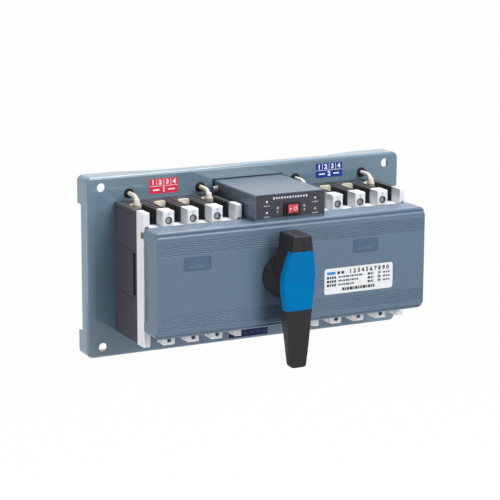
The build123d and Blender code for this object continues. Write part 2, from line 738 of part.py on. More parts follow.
def lever_outline():
    """The lever as seen from the front: narrow block, wide middle and tapering grip."""
    widths = ((LEVER_TOP, 10.6), (INSERT_TOP, 13), (23, 16.3), (8, 19.2), (-7, 19.3),
              (INSERT_BOTTOM, 16.2), (-62, 13.4), (LEVER_TIP, 11.3))
    right = [(w, z) for z, w in widths]
    left = [(-w, z) for w, z in reversed(right)]
    face = make_face(Polyline(*right, *left, close=True))
    bends = [v for v in face.vertices() if 0 < v.Y < LEVER_TOP - 1 or -60 < v.Y < 0]
    face = fillet([v for v in bends if abs(v.Y - INSERT_TOP) > 1], 6)
    tips = [v for v in face.vertices() if v.Y < LEVER_TIP + 0.5]
    face = fillet(tips, 6.5)
    shoulders = [v for v in face.vertices() if v.Y > LEVER_TOP - 0.5]
    return fillet(shoulders, 1.5)


def front_slope(inset):
    """Side view of everything behind the lever's front surface, less an inset."""
    return make_face(Polyline((-100, LEVER_TOP + 9), (-BLOCK_FRONT + inset, LEVER_TOP + 9),
                              (-BLOCK_FRONT + inset, INSERT_TOP), (-LEVER_FRONT + inset, -2),
                              (-LEVER_FRONT + inset, LEVER_TIP - 9), (-100, LEVER_TIP - 9),
                              close=True))


def grip_bevel(side):
    """What a bevel takes off one flank of the grip, from nothing to its widest at the tip."""
    start = Vector(side * 16.2, -LEVER_FRONT, INSERT_BOTTOM - 3)
    at_front = Vector(side * 8.4, -LEVER_FRONT, LEVER_TIP)
    at_flank = Vector(side * 11.8, -LEVER_FRONT + 8, LEVER_TIP)
    outward = (at_front - start).cross(at_flank - start).normalized()
    if outward.X * side < 0:
        outward = -outward
    cutter = Plane(origin=start + Vector(SHAFT_X, 0, 0), z_dir=outward) * Pos(0, 0, 50)
    return cutter * Box(300, 300, 100)


def whole_lever():
    """Lever and insert together, with the front edges rounded."""
    outline = Pos(SHAFT_X, 0) * lever_outline()
    lever = from_front(outline, LEVER_BACK, BLOCK_FRONT + 2)
    upper = outline & (Pos(SHAFT_X, 40) * Rectangle(60, 60))
    lever += from_front(upper, BLOCK_BACK, LEVER_BACK + 1)
    lever &= from_side(front_slope(0), SHAFT_X - 40, SHAFT_X + 40)
    front = lever.edges().filter_by(lambda e: e.center().Y < -LEVER_BACK - 8
                                    and abs(e.tangent_at(0.5).Y) < 0.9)
    rim = [e for e in front if abs(e.center().X - SHAFT_X) > 7 or e.center().Z < LEVER_TIP + 2]
    lever = fillet(rim, 1.6)
    for side in (-1, 1):
        lever -= grip_bevel(side)
    thin_tip = Polyline((-LEVER_BACK + 2, -45), (-LEVER_BACK, -45),
                        (-LEVER_BACK - 7, LEVER_TIP - 1), (-LEVER_BACK + 2, LEVER_TIP - 1),
                        close=True)
    return lever - across_lever(make_face(thin_tip))


def insert_zone():
    """Front view of the band that the coloured insert takes up, with bowed ends."""
    bulge = 1.4
    low = INSERT_BOTTOM + bulge
    high = INSERT_TOP - bulge
    with BuildSketch() as zone:
        with BuildLine():
            Line((-30, low), (-30, high))
            ThreePointArc((-30, high), (0, INSERT_TOP), (30, high))
            Line((30, high), (30, low))
            ThreePointArc((30, low), (0, INSERT_BOTTOM), (-30, low))
        make_face()
    return Pos(SHAFT_X, 0) * zone.sketch


def across_lever(side_view):
    """A side view extruded past both flanks of the lever."""
    return from_side(side_view, SHAFT_X - 40, SHAFT_X + 40)


def handle_insert(lever):
    """Coloured cap over the lever's middle: a shell that wraps its front and flanks."""
    cap = lever & from_front(insert_zone(), LEVER_BACK, BLOCK_FRONT + 2)
    cap -= across_lever(front_slope(INSERT_DEPTH))
    inner = from_front(Pos(SHAFT_X, 0) * offset(lever_outline(), -INSERT_WALL),
                       LEVER_BACK, BLOCK_FRONT + 2)
    return cap - (inner & across_lever(front_slope(INSERT_WALL)))


def hub():
    """Stepped round hub behind the lever, hollow over the bush's flange."""
    steps = 6
    fall = 1.2
    start = HUB_BACK + 3
    pitch = (LEVER_BACK + 1 - start) / steps
    outline = [(0, HUB_BACK + 3), (SHAFT_R + 13.5, HUB_BACK + 3), (SHAFT_R + 13.5, HUB_BACK),
               (HUB_R, HUB_BACK)]
    for i in range(steps):
        r = HUB_R - i * fall
        depth = start + i * pitch
        outline += [(r, depth), (r - fall, depth + 0.6)]
    outline += [(HUB_R - steps * fall, LEVER_BACK + 1), (0, LEVER_BACK + 1)]
    turned = revolve(make_face(Polyline(*outline, close=True)), Axis.Y)
    return Pos(SHAFT_X, 0, 0) * Rot(0, 0, 180) * turned


def handle_body(lever, insert):
    """Black moulding: hub, lever core under the insert, top block and grip."""
    body = lever + hub() - insert
    body -= from_front(Pos(SHAFT_X, 0) * Rectangle(9.7, 9.7), 110, 146.5)
    body -= disc(SHAFT_X, 0, 2.6, 146, 160)
    body -= disc(SHAFT_X, 0, 5, 149.6, 160)
    body -= block(SHAFT_X - 2.4, SHAFT_X + 2.4, BLOCK_FRONT - 2.5, BLOCK_FRONT + 1,
                  INSERT_TOP - 0.5, INSERT_TOP + 1.6)
    body -= block(SHAFT_X - 0.4, SHAFT_X + 0.4, BLOCK_BACK + 4, BLOCK_FRONT - 2,
                  LEVER_TOP - 0.5, LEVER_TOP + 1)
    mark = make_face(Polyline((-3.2, INSERT_TOP + 4), (3.2, INSERT_TOP + 4), (0, LEVER_TOP - 4),
                              close=True))
    return body - from_front(Pos(SHAFT_X, 0) * mark, BLOCK_FRONT - 0.5, BLOCK_FRONT + 1)


def handle_screw():
    """Screw that holds the handle to its shaft, covered by the insert."""
    head = disc(SHAFT_X, 0, 4.6, 149.6, 152.6) - hexagon(SHAFT_X, 0, 4, 150.8, 153)
    return head + disc(SHAFT_X, 0, 2.5, 132, 149.6)


# ---------------------------------------------------------------- control box

def box_shell():
    """Folded control box: top, sides and rear wall in one, open in front and below."""
    shell = block(-BOX_HALF_W, BOX_HALF_W, 0, BOX_FRONT, BOX_BOTTOM, BOX_TOP)
    shell = fillet(depth_edges(shell).sort_by(Axis.Z)[-2:], 2.2)
    inner = block(BOX_WALL - BOX_HALF_W, BOX_HALF_W - BOX_WALL, BOX_WALL, BOX_FRONT + 1,
                  BOX_BOTTOM - 1, BOX_TOP - BOX_WALL)
    shell -= fillet(depth_edges(inner).sort_by(Axis.Z)[-2:], 0.8)
    shell -= wire_slot(-1, BOX_WALL + 1)
    for x in (-BOX_SCREW_X, BOX_SCREW_X):
        shell -= disc(x, BOX_SCREW_Z, 1.9, -1, 3)
    return shell - cross_bar(-FUSE_DEPTH, FUSE_Z, 3.4, -BOX_HALF_W - 1, -BOX_HALF_W + 4)


def box_bottom():
    """Bottom plate of the control box, with the board's four pillars."""
    half = BOX_HALF_W - BOX_WALL
    plate = block(-half, half, BOX_WALL, BOX_FRONT, BOX_BOTTOM, BOX_BOTTOM + 1.6)
    for x in (-34, 34):
        for d in (20, 84):
            pillar = Pos(x, -d, (BOX_BOTTOM + BOARD_Z) / 2) * Cylinder(3, BOARD_Z - 0.8 - BOX_BOTTOM)
            plate += pillar & block(-half, half, 0, BOX_FRONT, BOX_BOTTOM, BOARD_Z - 0.8)
    return plate


def control_panel():
    """Dark front panel, let into the box, with the rocker's and the lamps' openings."""
    half = BOX_HALF_W - BOX_WALL - 0.1
    low = BOX_BOTTOM + 1.7
    high = BOX_TOP - BOX_WALL - 0.1
    panel = block(-half, half, PANEL_FACE - 2, PANEL_FACE, low, high)
    panel = fillet(depth_edges(panel).sort_by(Axis.Z)[-2:], 0.8)
    panel -= slot_cut(ROCKER_X, ROCKER_Z, 18.4, 12.4, 0.8, 90, 110)
    for x, z in LAMPS:
        panel -= disc(x, z, LAMP_R + 0.1, 90, 110)
    return panel


def rocker_frame():
    """Bezel and body of the rocker switch."""
    face = PANEL_FACE
    frame = slot_cut(ROCKER_X, ROCKER_Z, 20.8, 14.4, 1, face, face + 1.8)
    frame = fillet(frame.faces().sort_by(Axis.Y)[0].edges(), 0.5)
    frame += slot_cut(ROCKER_X, ROCKER_Z, 18.4, 12.4, 0.8, 90, face)
    frame -= slot_cut(ROCKER_X, ROCKER_Z, 15.6, 10.3, 0.5, 92, 110)
    pin = Pos(ROCKER_X, -ROCKER_PIVOT, ROCKER_Z) * Cylinder(1.05, 11.9)
    return frame - pin


def rocker():
    """Red rocker with a shallow V face, tilted about its upright pivot."""
    half_w = 6.6
    outline = Polyline((-half_w, -7.3), (0, -5.4), (half_w, -7.3), (half_w, -2), (3.5, 2.5),
                       (-3.5, 2.5), (-half_w, -2), close=True)
    key = extrude(make_face(outline), amount=4.9, both=True)
    ends = [e for e in key.edges() if e.center().Y < -6 and abs(e.center().Z) > 4.8]
    key = fillet(ends, 0.6)
    key += Cylinder(1, 11.6)
    return Pos(ROCKER_X, -ROCKER_PIVOT, ROCKER_Z) * Rot(0, 0, ROCKER_TILT) * key


def indicator_lamps():
    """Four lamps with domed lenses."""
    group = []
    for x, z in LAMPS:
        lens = disc(x, z, LAMP_R, 97, BOX_FRONT + 0.3)
        group.append(fillet(lens.faces().sort_by(Axis.Y)[0].edges(), 0.9))
    return group


def circuit_board():
    board = block(-38, 38, 14, 90, BOARD_Z - 0.8, BOARD_Z + 0.8)
    return chamfer(board.edges().filter_by(Axis.Z), 2)


def board_transformer():
    """Laminated transformer with its bobbin showing at both ends."""
    top = BOARD_Z + 0.8
    core = block(-34, -8, 34, 54, top + 1, top + 17)
    bobbin = block(-29, -13, 29, 59, top, top + 14)
    return core + fillet(depth_edges(bobbin), 2)


def board_relays():
    top = BOARD_Z + 0.8
    return [fillet(block(10, 30, d, d + 15, top, top + 15.5).edges().filter_by(Axis.Z), 1)
            for d in (30, 52)]


def board_connector():
    """Upright header that takes the four sensing wires."""
    top = BOARD_Z + 0.8
    header = block(-19, 19, 12, 22, top, BOX_TOP - 3)
    return header - block(-17, 17, 18, 23, top + 12, BOX_TOP)


def fuse_holder():
    """Panel fuse holder in the box's left wall."""
    wall = -BOX_HALF_W
    holder = cross_bar(-FUSE_DEPTH, FUSE_Z, 4.5, wall - 3.5, wall)
    holder += cross_bar(-FUSE_DEPTH, FUSE_Z, 3.4, wall, wall + 16)
    return holder - cross_bar(-FUSE_DEPTH, FUSE_Z, 2.6, wall - 6, wall + 12)


def fuse_cap():
    """Slotted screw cap of the fuse holder."""
    wall = -BOX_HALF_W
    cap = cross_bar(-FUSE_DEPTH, FUSE_Z, 4.1, wall - 7.5, wall - 3.5)
    cap = chamfer(cap.faces().sort_by(Axis.X)[0].edges(), 0.7)
    cap += cross_bar(-FUSE_DEPTH, FUSE_Z, 2.6, wall - 3.5, wall + 8)
    slot = Pos(wall - 7.5, -FUSE_DEPTH, FUSE_Z) * Box(1.6, 1, 9)
    return cap - slot


# ---------------------------------------------------------------- pan fittings

def block_ways():
    return [BLOCK_X + (i - (BLOCK_WAYS - 1) / 2) * BLOCK_PITCH for i in range(BLOCK_WAYS)]


def aux_terminal_block():
    """Barrier strip on the pan below the control gear."""
    half = BLOCK_WAYS * BLOCK_PITCH / 2 + 1
    low = BLOCK_TOP_Z - BLOCK_H
    strip = block(BLOCK_X - half, BLOCK_X + half, 0, 9, low, BLOCK_TOP_Z)
    for i in range(BLOCK_WAYS + 1):
        x = BLOCK_X + (i - BLOCK_WAYS / 2) * BLOCK_PITCH
        strip += block(x - 0.9, x + 0.9, 0, 17, low, BLOCK_TOP_Z)
    for x in block_ways():
        strip -= disc(x, BLOCK_TOP_Z - BLOCK_H / 2, 1.5, 3, 10)
    for x in (BLOCK_X - 20, BLOCK_X + 20):
        strip -= disc(x, BLOCK_TOP_Z - 4, 1.9, -1, 6)
    return strip


def aux_terminal_screws():
    """Clamp screws of the barrier strip, each with its square plate."""
    z = BLOCK_TOP_Z - BLOCK_H / 2
    screws = []
    for x in block_ways():
        plate = block(x - 2.9, x + 2.9, 9, 10, z - 4, z + 4)
        head = disc(x, z, 2.6, 10, 12.6) - block(x - 3, x + 3, 12, 13, z - 0.4, z + 0.4)
        screws.append(plate + head + disc(x, z, 1.5, 4, 9))
    return screws


def rear_screw_points():
    """Screws put in from behind the pan, as X, Z and reach in front of it."""
    points = [(x, z, 10) for x, z in plate_points()]
    points += [(middle + x, z, 12) for middle in BREAKER_XS for x in (-30, 30) for z in (-50, 50)]
    points += [(x, BOX_SCREW_Z, 5) for x in (-BOX_SCREW_X, BOX_SCREW_X)]
    points += [(x, BLOCK_TOP_Z - 4, 5) for x in (BLOCK_X - 20, BLOCK_X + 20)]
    return points


def rear_screws():
    """All screws with their heads behind the pan."""
    screws = []
    for x, z, reach in rear_screw_points():
        head = disc(x, z, 3.4, -PAN_T - 2.4, -PAN_T)
        screws.append(head + disc(x, z, 1.9, -PAN_T, reach))
    return screws


def rear_screw_holes():
    """Clearance for the rear screws in the pan and in what they hold."""
    return [disc(x, z, 1.9, -PAN_T - 1, reach + 0.5) for x, z, reach in rear_screw_points()]


# ---------------------------------------------------------------- assembly

def moved(shapes, x):
    if isinstance(shapes, list):
        return [Pos(x, 0, 0) * shape for shape in shapes]
    return Pos(x, 0, 0) * shapes


def breaker_nodes(name, side):
    """All nodes of one breaker; side is -1 on the left and 1 on the right."""
    x = BREAKER_SHIFT + side * BREAKER_X
    return {
        name + "_breaker_base": moved(breaker_base(), x) - rear_screw_holes(),
        name + "_breaker_cover": moved(breaker_cover(), x),
        name + "_toggle": moved(tilted_toggle(side), x),
        name + "_line_terminals": moved(terminals(1), x),
        name + "_load_terminals": moved(terminals(-1), x),
        name + "_terminal_screws": moved(terminal_screws(), x),
        name + "_post_screws": moved(post_screws(), x),
        name + "_drive_slide": placed_slide(side),
        name + "_sensing_wires": sensing_wires(side),
    }


def all_nodes():
    lever = whole_lever()
    insert = handle_insert(lever)
    nodes = {
        "base_pan": base_pan() - rear_screw_holes(),
        "wire_grommets": wire_grommets(),
        "wire_bush": wire_bush(),
        "ring_lugs": ring_lugs(),
        "aux_terminal_block": aux_terminal_block(),
        "aux_terminal_screws": aux_terminal_screws(),
        "rear_screws": rear_screws(),
        "mechanism_plate": mechanism_plate(),
        "plate_standoffs": [post - rear_screw_holes() for post in plate_standoffs()],
        "plate_screws": pan_head_screws(plate_points(), PLATE_FRONT, 2.1, 4, 2.4, 12),
        "gearbox_housing": gearbox_housing(),
        "gearbox_screws": pan_head_screws(gearbox_points(), PLATE_FRONT, 2.1, 3.8, 2.2, 10),
        "gear_motor": gear_motor(),
        "handle_shaft": handle_shaft(),
        "drive_pinion": drive_pinion(),
        "guide_screws": guide_screws(),
        "limit_switches": limit_switches(),
        "front_cover": front_cover(),
        "cover_screws": [cover_screw(side) for side in (-1, 1)],
        "cover_clips": cover_clips(),
        "shaft_bush": shaft_bush(),
        "handle_body": handle_body(lever, insert),
        "handle_insert": insert,
        "handle_screw": handle_screw(),
        "box_shell": box_shell(),
        "box_bottom": box_bottom(),
        "control_panel": control_panel(),
        "rocker_frame": rocker_frame(),
        "rocker": rocker(),
        "indicator_lamps": indicator_lamps(),
        "circuit_board": circuit_board(),
        "board_transformer": board_transformer(),
        "board_relays": board_relays(),
        "board_connector": board_connector(),
        "fuse_holder": fuse_holder(),
        "fuse_cap": fuse_cap(),
    }
    nodes.update(breaker_nodes("left", -1))
    nodes.update(breaker_nodes("right", 1))
    return nodes


def write(name, shapes):
    solids = [s for shape in (shapes if isinstance(shapes, list) else [shapes]) for s in shape.solids()]
    export_step(solids[0] if len(solids) == 1 else Compound(solids), "parts/" + name + ".step")


os.makedirs("parts", exist_ok=True)
for node, shapes in all_nodes().items():
    write(node, shapes)
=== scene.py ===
import math

import bmesh
import bpy
from bpy.props import FloatProperty, FloatVectorProperty, PointerProperty
from mathutils import Matrix, Vector


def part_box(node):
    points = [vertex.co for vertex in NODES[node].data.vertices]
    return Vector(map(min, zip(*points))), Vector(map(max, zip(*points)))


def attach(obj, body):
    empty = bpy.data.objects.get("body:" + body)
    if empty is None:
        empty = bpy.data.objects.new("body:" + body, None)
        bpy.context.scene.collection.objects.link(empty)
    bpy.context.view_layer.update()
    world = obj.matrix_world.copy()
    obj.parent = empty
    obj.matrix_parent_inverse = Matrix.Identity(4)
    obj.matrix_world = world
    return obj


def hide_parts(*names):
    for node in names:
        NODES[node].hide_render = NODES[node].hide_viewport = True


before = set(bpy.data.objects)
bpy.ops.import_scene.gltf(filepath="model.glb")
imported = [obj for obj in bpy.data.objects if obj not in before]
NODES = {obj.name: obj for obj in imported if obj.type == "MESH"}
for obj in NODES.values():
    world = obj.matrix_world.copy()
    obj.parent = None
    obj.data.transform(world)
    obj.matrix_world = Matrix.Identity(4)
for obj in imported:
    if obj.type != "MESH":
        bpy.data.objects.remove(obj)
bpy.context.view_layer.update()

bl_info = {
    "name": "Transfer Switch Finish",
    "version": (1, 0, 0),
    "blender": (4, 5, 0),
    "location": "View3D > Sidebar > Transfer Switch",
    "description": "Finishes, labels, fasteners and studio for a two-source transfer switch",
    "category": "Object",
}

MM = 0.001

# Vertices closer than this are merged.
WELD = 1e-7

# Thickness of a label and of the ink on it.
FILM = 0.15 * MM
INK = 0.04 * MM

# Planes that printed and fitted pieces lie on, read from the frame.
PAN_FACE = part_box("base_pan")[0].y
COVER_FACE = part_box("front_cover")[0].y
PANEL_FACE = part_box("control_panel")[0].y
BREAKER_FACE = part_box("left_breaker_cover")[0].y

# The breakers' poles, and what is on the posts between them. A ring of painted shade round a screw is
# outer and inner radius.
BREAKER_X = 105.8 * MM
BREAKER_SHIFT = -1.1 * MM
POLE_PITCH = 29.5 * MM
POST_NUMBER_Z = 71.6 * MM
POST_SCREW_Z = 65 * MM
POST_SCREW_SHADE_RING = (4.3 * MM, 3.1 * MM)
LOW_SCREW_Z = -70 * MM
LOW_SCREW_SHADE_RING = (2.1 * MM, 0.9 * MM)

# The supply labels' cells, and their rows and bars as shares of the height and width.
SUPPLY_CELLS = 4
UPPER_ROW = 0.245
LOWER_ROW = -0.255
SUPPLY_BAR_SHIFT = 0.27

# Columns of the white label, in millimetres from its left edge. The value gets shorter row by row.
KEY_COLUMN = (3, 15)
VALUE_START = 18
VALUE_END = 50
VALUE_STEP = 6
SECOND_KEY_COLUMN = (56, 63.5)
NUMBER_COLUMN = 71
UNIT_COLUMN = (76, 85)
FOOT_COLUMN = (23, 65)

# The control panel, in millimetres: lamps, marks beside the rocker and the title's row of bars.
LAMP_PLACES = ((-29.1, 80.7), (-29.1, 68.4), (31.6, 80.8), (31.6, 68.4))
LAMP_NUMBER_DROP = 4.6
LAMP_DASH_SHIFT = 2.6
SIDE_MARKS_X = (-15.4, 18.0)
SIDE_RING_Z = 72.9
SIDE_DASH_Z = 68.6
TITLE_BARS = 13
TITLE_START_X = -20.2
TITLE_PITCH = 3.4
TITLE_Z = 84.2

# The rocker: its hinge line, its tilt at rest, the slope of each half, and where a mark lies on it.
ROCKER_PIVOT_X = 2 * MM
ROCKER_PIVOT_Y = -99 * MM
ROCKER_TILT = math.radians(8)
ROCKER_SLOPE = math.atan2(1.9, 6.6)
ROCKER_MARK_X = 3.5 * MM
ROCKER_MARK_Y = -6.41 * MM

# The plates in the front cover's two recesses.
RECESS_XS = (-119.8 * MM, 90.2 * MM)
RECESS_Z = 23 * MM
RECESS_DEPTH = 0.7 * MM
RECESS_W = 32.8 * MM
RECESS_H = 15.2 * MM

# Places along the sensing wires' routes, as in the solid model.
LUG_Y = -26.1 * MM
BARREL_Z = 72.6 * MM
GROMMET_Z = 83 * MM
GROMMET_DX = 1.6 * MM
BEFORE_PAN_Y = -6 * MM
BEHIND_Y = 10.5 * MM
LONG_RUN_Z = 76 * MM
LONG_RUN_IN = 18 * MM
LONG_TURN_X = 6 * MM
SHORT_TURN_X = 14 * MM
END_Y = -12 * MM
WIRE_DIAMETER = 5 * MM
LONG_WIRE = 207 * MM
SHORT_WIRE = 109 * MM

# Section of a sleeve's flared end: radius and height in millimetres.
FLARE_SECTION = ((2.4, 81), (3.0, 80.6), (3.3, 78), (4.4, 74.6), (4.6, 73.4), (3.9, 73.4), (2.6, 78))

# Soft boxes: name, place, size in metres, and the setting that holds the power.
SOFT_BOXES = (
    ("key_box", (0.55, -1.9, 0.8), (1.0, 1.0), "key_power"),
    ("top_box", (0.3, -0.1, 1.5), (1.8, 0.6), "top_power"),
    ("side_box", (-1.6, -0.2, 0.0), (0.8, 0.8), "side_power"),
)
LAMP_AIM = (0.0, -0.05, 0.0)

# What the camera points at, in millimetres.
CAMERA_AIM = (3.24, 0.0, 2.66)

# Half the floor's width in metres, and the share of white in what the camera sees of it.
FLOOR_HALF = 30.0
FLOOR_GLOW = 0.99

WHITE = (1.0, 1.0, 1.0, 1.0)


def srgb(red, green, blue):
    """A linear colour from 0 to 255 screen values."""
    def linear(value):
        value /= 255
        return value / 12.92 if value <= 0.04045 else ((value + 0.055) / 1.055) ** 2.4
    return (linear(red), linear(green), linear(blue))


def colour_property(name, description, value):
    """A setting that holds a colour."""
    return FloatVectorProperty(name=name, description=description, default=value,
                               subtype="COLOR", size=3, min=0.0, max=1.0)


def length_property(name, description, millimetres):
    """A setting that holds a length or a place, given in millimetres."""
    return FloatProperty(name=name, description=description, default=millimetres * MM,
                         subtype="DISTANCE", unit="LENGTH", min=-1.0, max=1.0, precision=5)


# ---------------------------------------------------------------- settings

class SwitchColours(bpy.types.PropertyGroup):
    """Colours of the paints, mouldings and prints."""

    pan: colour_property("Pan", "Powder coat of the pan", srgb(103, 127, 144))
    cover: colour_property("Cover", "Moulded front cover", srgb(78, 102, 124))
    box: colour_property("Box", "Powder coat of the control box", srgb(72, 88, 106))
    base_black: colour_property("Breaker base", "Moulded breaker base", srgb(66, 66, 71))
    post_white: colour_property("Breaker cover", "White breaker moulding", srgb(236, 238, 241))
    handle_black: colour_property("Handle", "Handle moulding", srgb(32, 31, 34))
    insert_blue: colour_property("Handle insert", "Coloured cap of the handle", srgb(0, 115, 176))
    panel_dark: colour_property("Panel", "Control panel", srgb(64, 65, 72))
    rocker_red: colour_property("Rocker", "Rocker key", srgb(212, 62, 78))
    label_red: colour_property("Left label", "First supply's label", srgb(228, 48, 78))
    label_blue: colour_property("Right label", "Second supply's label", srgb(16, 60, 148))
    label_navy: colour_property("Strip label", "Terminal strip's label", srgb(22, 22, 80))
    sleeve: colour_property("Sleeve", "Sleeve of the sensing wires", srgb(214, 209, 197))


class SwitchLabels(bpy.types.PropertyGroup):
    """Places and sizes of the labels."""

    left_x: length_property("Left label X", "Middle of the red label", -106.5)
    left_z: length_property("Left label Z", "Middle height of the red label", 88.0)
    right_x: length_property("Right label X", "Middle of the blue label", 107.1)
    right_z: length_property("Right label Z", "Middle height of the blue label", 89.0)
    supply_w: length_property("Supply label width", "Width of both supply labels", 35.4)
    supply_h: length_property("Supply label height", "Height of both supply labels", 17.0)
    rating_x: length_property("Rating label X", "Middle of the white label", 82.2)
    rating_z: length_property("Rating label Z", "Middle height of the white label", -14.6)
    rating_w: length_property("Rating label width", "Width of the white label", 88.8)
    rating_h: length_property("Rating label height", "Height of the white label", 29.7)
    strip_x: length_property("Strip label X", "Middle of the terminal strip's label", 1.5)
    strip_z: length_property("Strip label Z", "Middle height of that label", -93.0)
    strip_w: length_property("Strip label width", "Width of that label", 51.0)
    strip_h: length_property("Strip label height", "Height of that label", 14.9)


class SwitchStudio(bpy.types.PropertyGroup):
    """Camera and lamps."""

    azimuth: FloatProperty(name="Azimuth", description="Angle to the left of straight on",
                           default=math.radians(27.09), subtype="ANGLE")
    elevation: FloatProperty(name="Elevation", description="Angle above the level",
                             default=math.radians(12.64), subtype="ANGLE")
    roll: FloatProperty(name="Roll", description="Turn of the picture",
                        default=math.radians(0.23), subtype="ANGLE")
    distance: FloatProperty(name="Distance", description="From the camera to its aim",
                            default=2.3514, subtype="DISTANCE", unit="LENGTH", precision=4)
    lens: FloatProperty(name="Lens", description="Focal length", default=145.7, unit="CAMERA")
    floor_drop: length_property("Floor", "Height of the floor", -620)
    key_power: FloatProperty(name="Key", description="Power of the main soft box", default=26.0,
                             unit="POWER")
    top_power: FloatProperty(name="Top", description="Power of the overhead soft box", default=38.0,
                             unit="POWER")
    side_power: FloatProperty(name="Side", description="Power of the soft box on the left",
                              default=11.5, unit="POWER")
    ambient: FloatProperty(name="Ambient", description="Strength of the room light", default=0.03,
                           min=0.0, max=2.0)


# ---------------------------------------------------------------- materials

# The gloss varies on a finer scale than the colour, and never drops below the smoothest.
GLOSS_SCALE = 2.3
SMOOTHEST = 0.02

# The part of a noise's range that most of its values fall in.
NOISE_LOW = 0.3
NOISE_HIGH = 0.7


def linked(tree, kind, **values):
    """A new node with its own settings."""
    node = tree.nodes.new(kind)
    for key, value in values.items():
        setattr(node, key, value)
    return node


def noise(tree, place, scale, detail=2.0, stretch=None):
    """Noise over the object's own coordinates, stretched along an axis where asked."""
    texture = linked(tree, "ShaderNodeTexNoise")
    texture.inputs["Scale"].default_value = scale
    texture.inputs["Detail"].default_value = detail
    source = place.outputs["Object"]
    if stretch:
        mapping = linked(tree, "ShaderNodeMapping")
        mapping.inputs["Scale"].default_value = stretch
        tree.links.new(source, mapping.inputs["Vector"])
        source = mapping.outputs["Vector"]
    tree.links.new(source, texture.inputs["Vector"])
    return texture.outputs["Fac"]


def spread(tree, value, low, high):
    """Maps the useful middle of a noise to a range."""
    node = linked(tree, "ShaderNodeMapRange")
    node.inputs["From Min"].default_value = NOISE_LOW
    node.inputs["From Max"].default_value = NOISE_HIGH
    node.inputs["To Min"].default_value = low
    node.inputs["To Max"].default_value = high
    tree.links.new(value, node.inputs["Value"])
    return node.outputs["Result"]


def surface(name, colour, roughness, metallic=0.0, coat=0.0, mottle=0.05, mottle_scale=45.0,
            rough_spread=0.05, grain=0.02, grain_scale=900.0, stretch=None, edge=0.35,
            specular=0.5, coat_roughness=0.12):
    """A procedural finish: clouded colour, uneven gloss, fine grain and slightly round edges.

    grain is the height of the fine texture and edge the radius of the edges, in millimetres.
    """
    material = bpy.data.materials.new(name)
    material.use_nodes = True
    tree = material.node_tree
    shader = tree.nodes["Principled BSDF"]
    shader.inputs["Metallic"].default_value = metallic
    shader.inputs["Coat Weight"].default_value = coat
    shader.inputs["Coat Roughness"].default_value = coat_roughness
    shader.inputs["Specular IOR Level"].default_value = specular
    place = linked(tree, "ShaderNodeTexCoord")

    mix = linked(tree, "ShaderNodeMix", data_type="RGBA")
    dark, light = [tuple(min(1.0, channel * share) for channel in colour) + (1.0,)
                   for share in (1 - mottle, 1 + mottle)]
    mix.inputs["A"].default_value = dark
    mix.inputs["B"].default_value = light
    cloud = spread(tree, noise(tree, place, mottle_scale, 4.0, stretch), 0.0, 1.0)
    tree.links.new(cloud, mix.inputs["Factor"])
    tree.links.new(mix.outputs["Result"], shader.inputs["Base Color"])

    uneven = noise(tree, place, mottle_scale * GLOSS_SCALE, 3.0, stretch)
    low = max(SMOOTHEST, roughness - rough_spread)
    gloss = spread(tree, uneven, low, roughness + rough_spread)
    tree.links.new(gloss, shader.inputs["Roughness"])

    bump = linked(tree, "ShaderNodeBump")
    bump.inputs["Distance"].default_value = grain * MM
    bump.inputs["Strength"].default_value = 1.0
    tree.links.new(noise(tree, place, grain_scale, 2.0, stretch), bump.inputs["Height"])
    if edge:
        bevel = linked(tree, "ShaderNodeBevel", samples=4)
        bevel.inputs["Radius"].default_value = edge * MM
        tree.links.new(bevel.outputs["Normal"], bump.inputs["Normal"])
    tree.links.new(bump.outputs["Normal"], shader.inputs["Normal"])
    return material


def pan_paint(colours):
    """Semi-gloss powder coat with a faint orange peel."""
    return surface("pan_powder_coat", colours.pan, 0.4, coat=1.0, mottle=0.02, mottle_scale=9,
                   rough_spread=0.03, grain=0.002, grain_scale=420, specular=0.1,
                   coat_roughness=0.08)


def cover_moulding(colours):
    """Smooth moulded plastic with a soft gloss."""
    return surface("cover_moulding", colours.cover, 0.42, coat=1.0, mottle=0.015, mottle_scale=8,
                   rough_spread=0.03, grain=0.0015, grain_scale=700, edge=0.12, specular=0.25,
                   coat_roughness=0.46)


def box_paint(colours):
    """Satin powder coat of the control box."""
    return surface("box_powder_coat", colours.box, 0.4, coat=1.0, mottle=0.02, mottle_scale=12,
                   rough_spread=0.03, grain=0.002, grain_scale=600, specular=0.15,
                   coat_roughness=0.36)


def base_moulding(colours):
    """Phenolic breaker base with a spark-eroded texture."""
    return surface("breaker_base_moulding", colours.base_black, 0.46, mottle=0.10, mottle_scale=60,
                   rough_spread=0.06, grain=0.02, grain_scale=1500, specular=0.2)


def white_moulding(colours):
    """Satin white breaker cover."""
    return surface("breaker_cover_moulding", colours.post_white, 0.38, mottle=0.02,
                   grain=0.006, grain_scale=1300, specular=0.3)


def handle_moulding(colours):
    """Textured black handle plastic."""
    return surface("handle_moulding", colours.handle_black, 0.46, mottle=0.06, mottle_scale=80,
                   rough_spread=0.06, grain=0.012, grain_scale=1400, specular=0.25)


def insert_moulding(colours):
    """Smooth satin handle cap."""
    return surface("handle_insert_moulding", colours.insert_blue, 0.38, mottle=0.02,
                   grain=0.004, grain_scale=1000, edge=2.0, specular=0.04)


def panel_moulding(colours):
    """Fine matte front panel."""
    return surface("panel_moulding", colours.panel_dark, 0.5, mottle=0.06, mottle_scale=120,
                   grain=0.02, grain_scale=1800, specular=0.2)


def rocker_moulding(colours):
    """Glossy rocker key."""
    return surface("rocker_moulding", colours.rocker_red, 0.22, coat=0.3, mottle=0.04, grain=0.008)


def frame_moulding():
    """Black rocker bezel."""
    return surface("rocker_frame_moulding", srgb(18, 18, 20), 0.34, mottle=0.08, grain=0.01,
                   specular=0.25)


def toggle_moulding():
    """Dark moulding of the toggles, the limit switches and the terminal strip."""
    return surface("toggle_moulding", srgb(38, 38, 41), 0.42, mottle=0.08, grain=0.015,
                   specular=0.25)


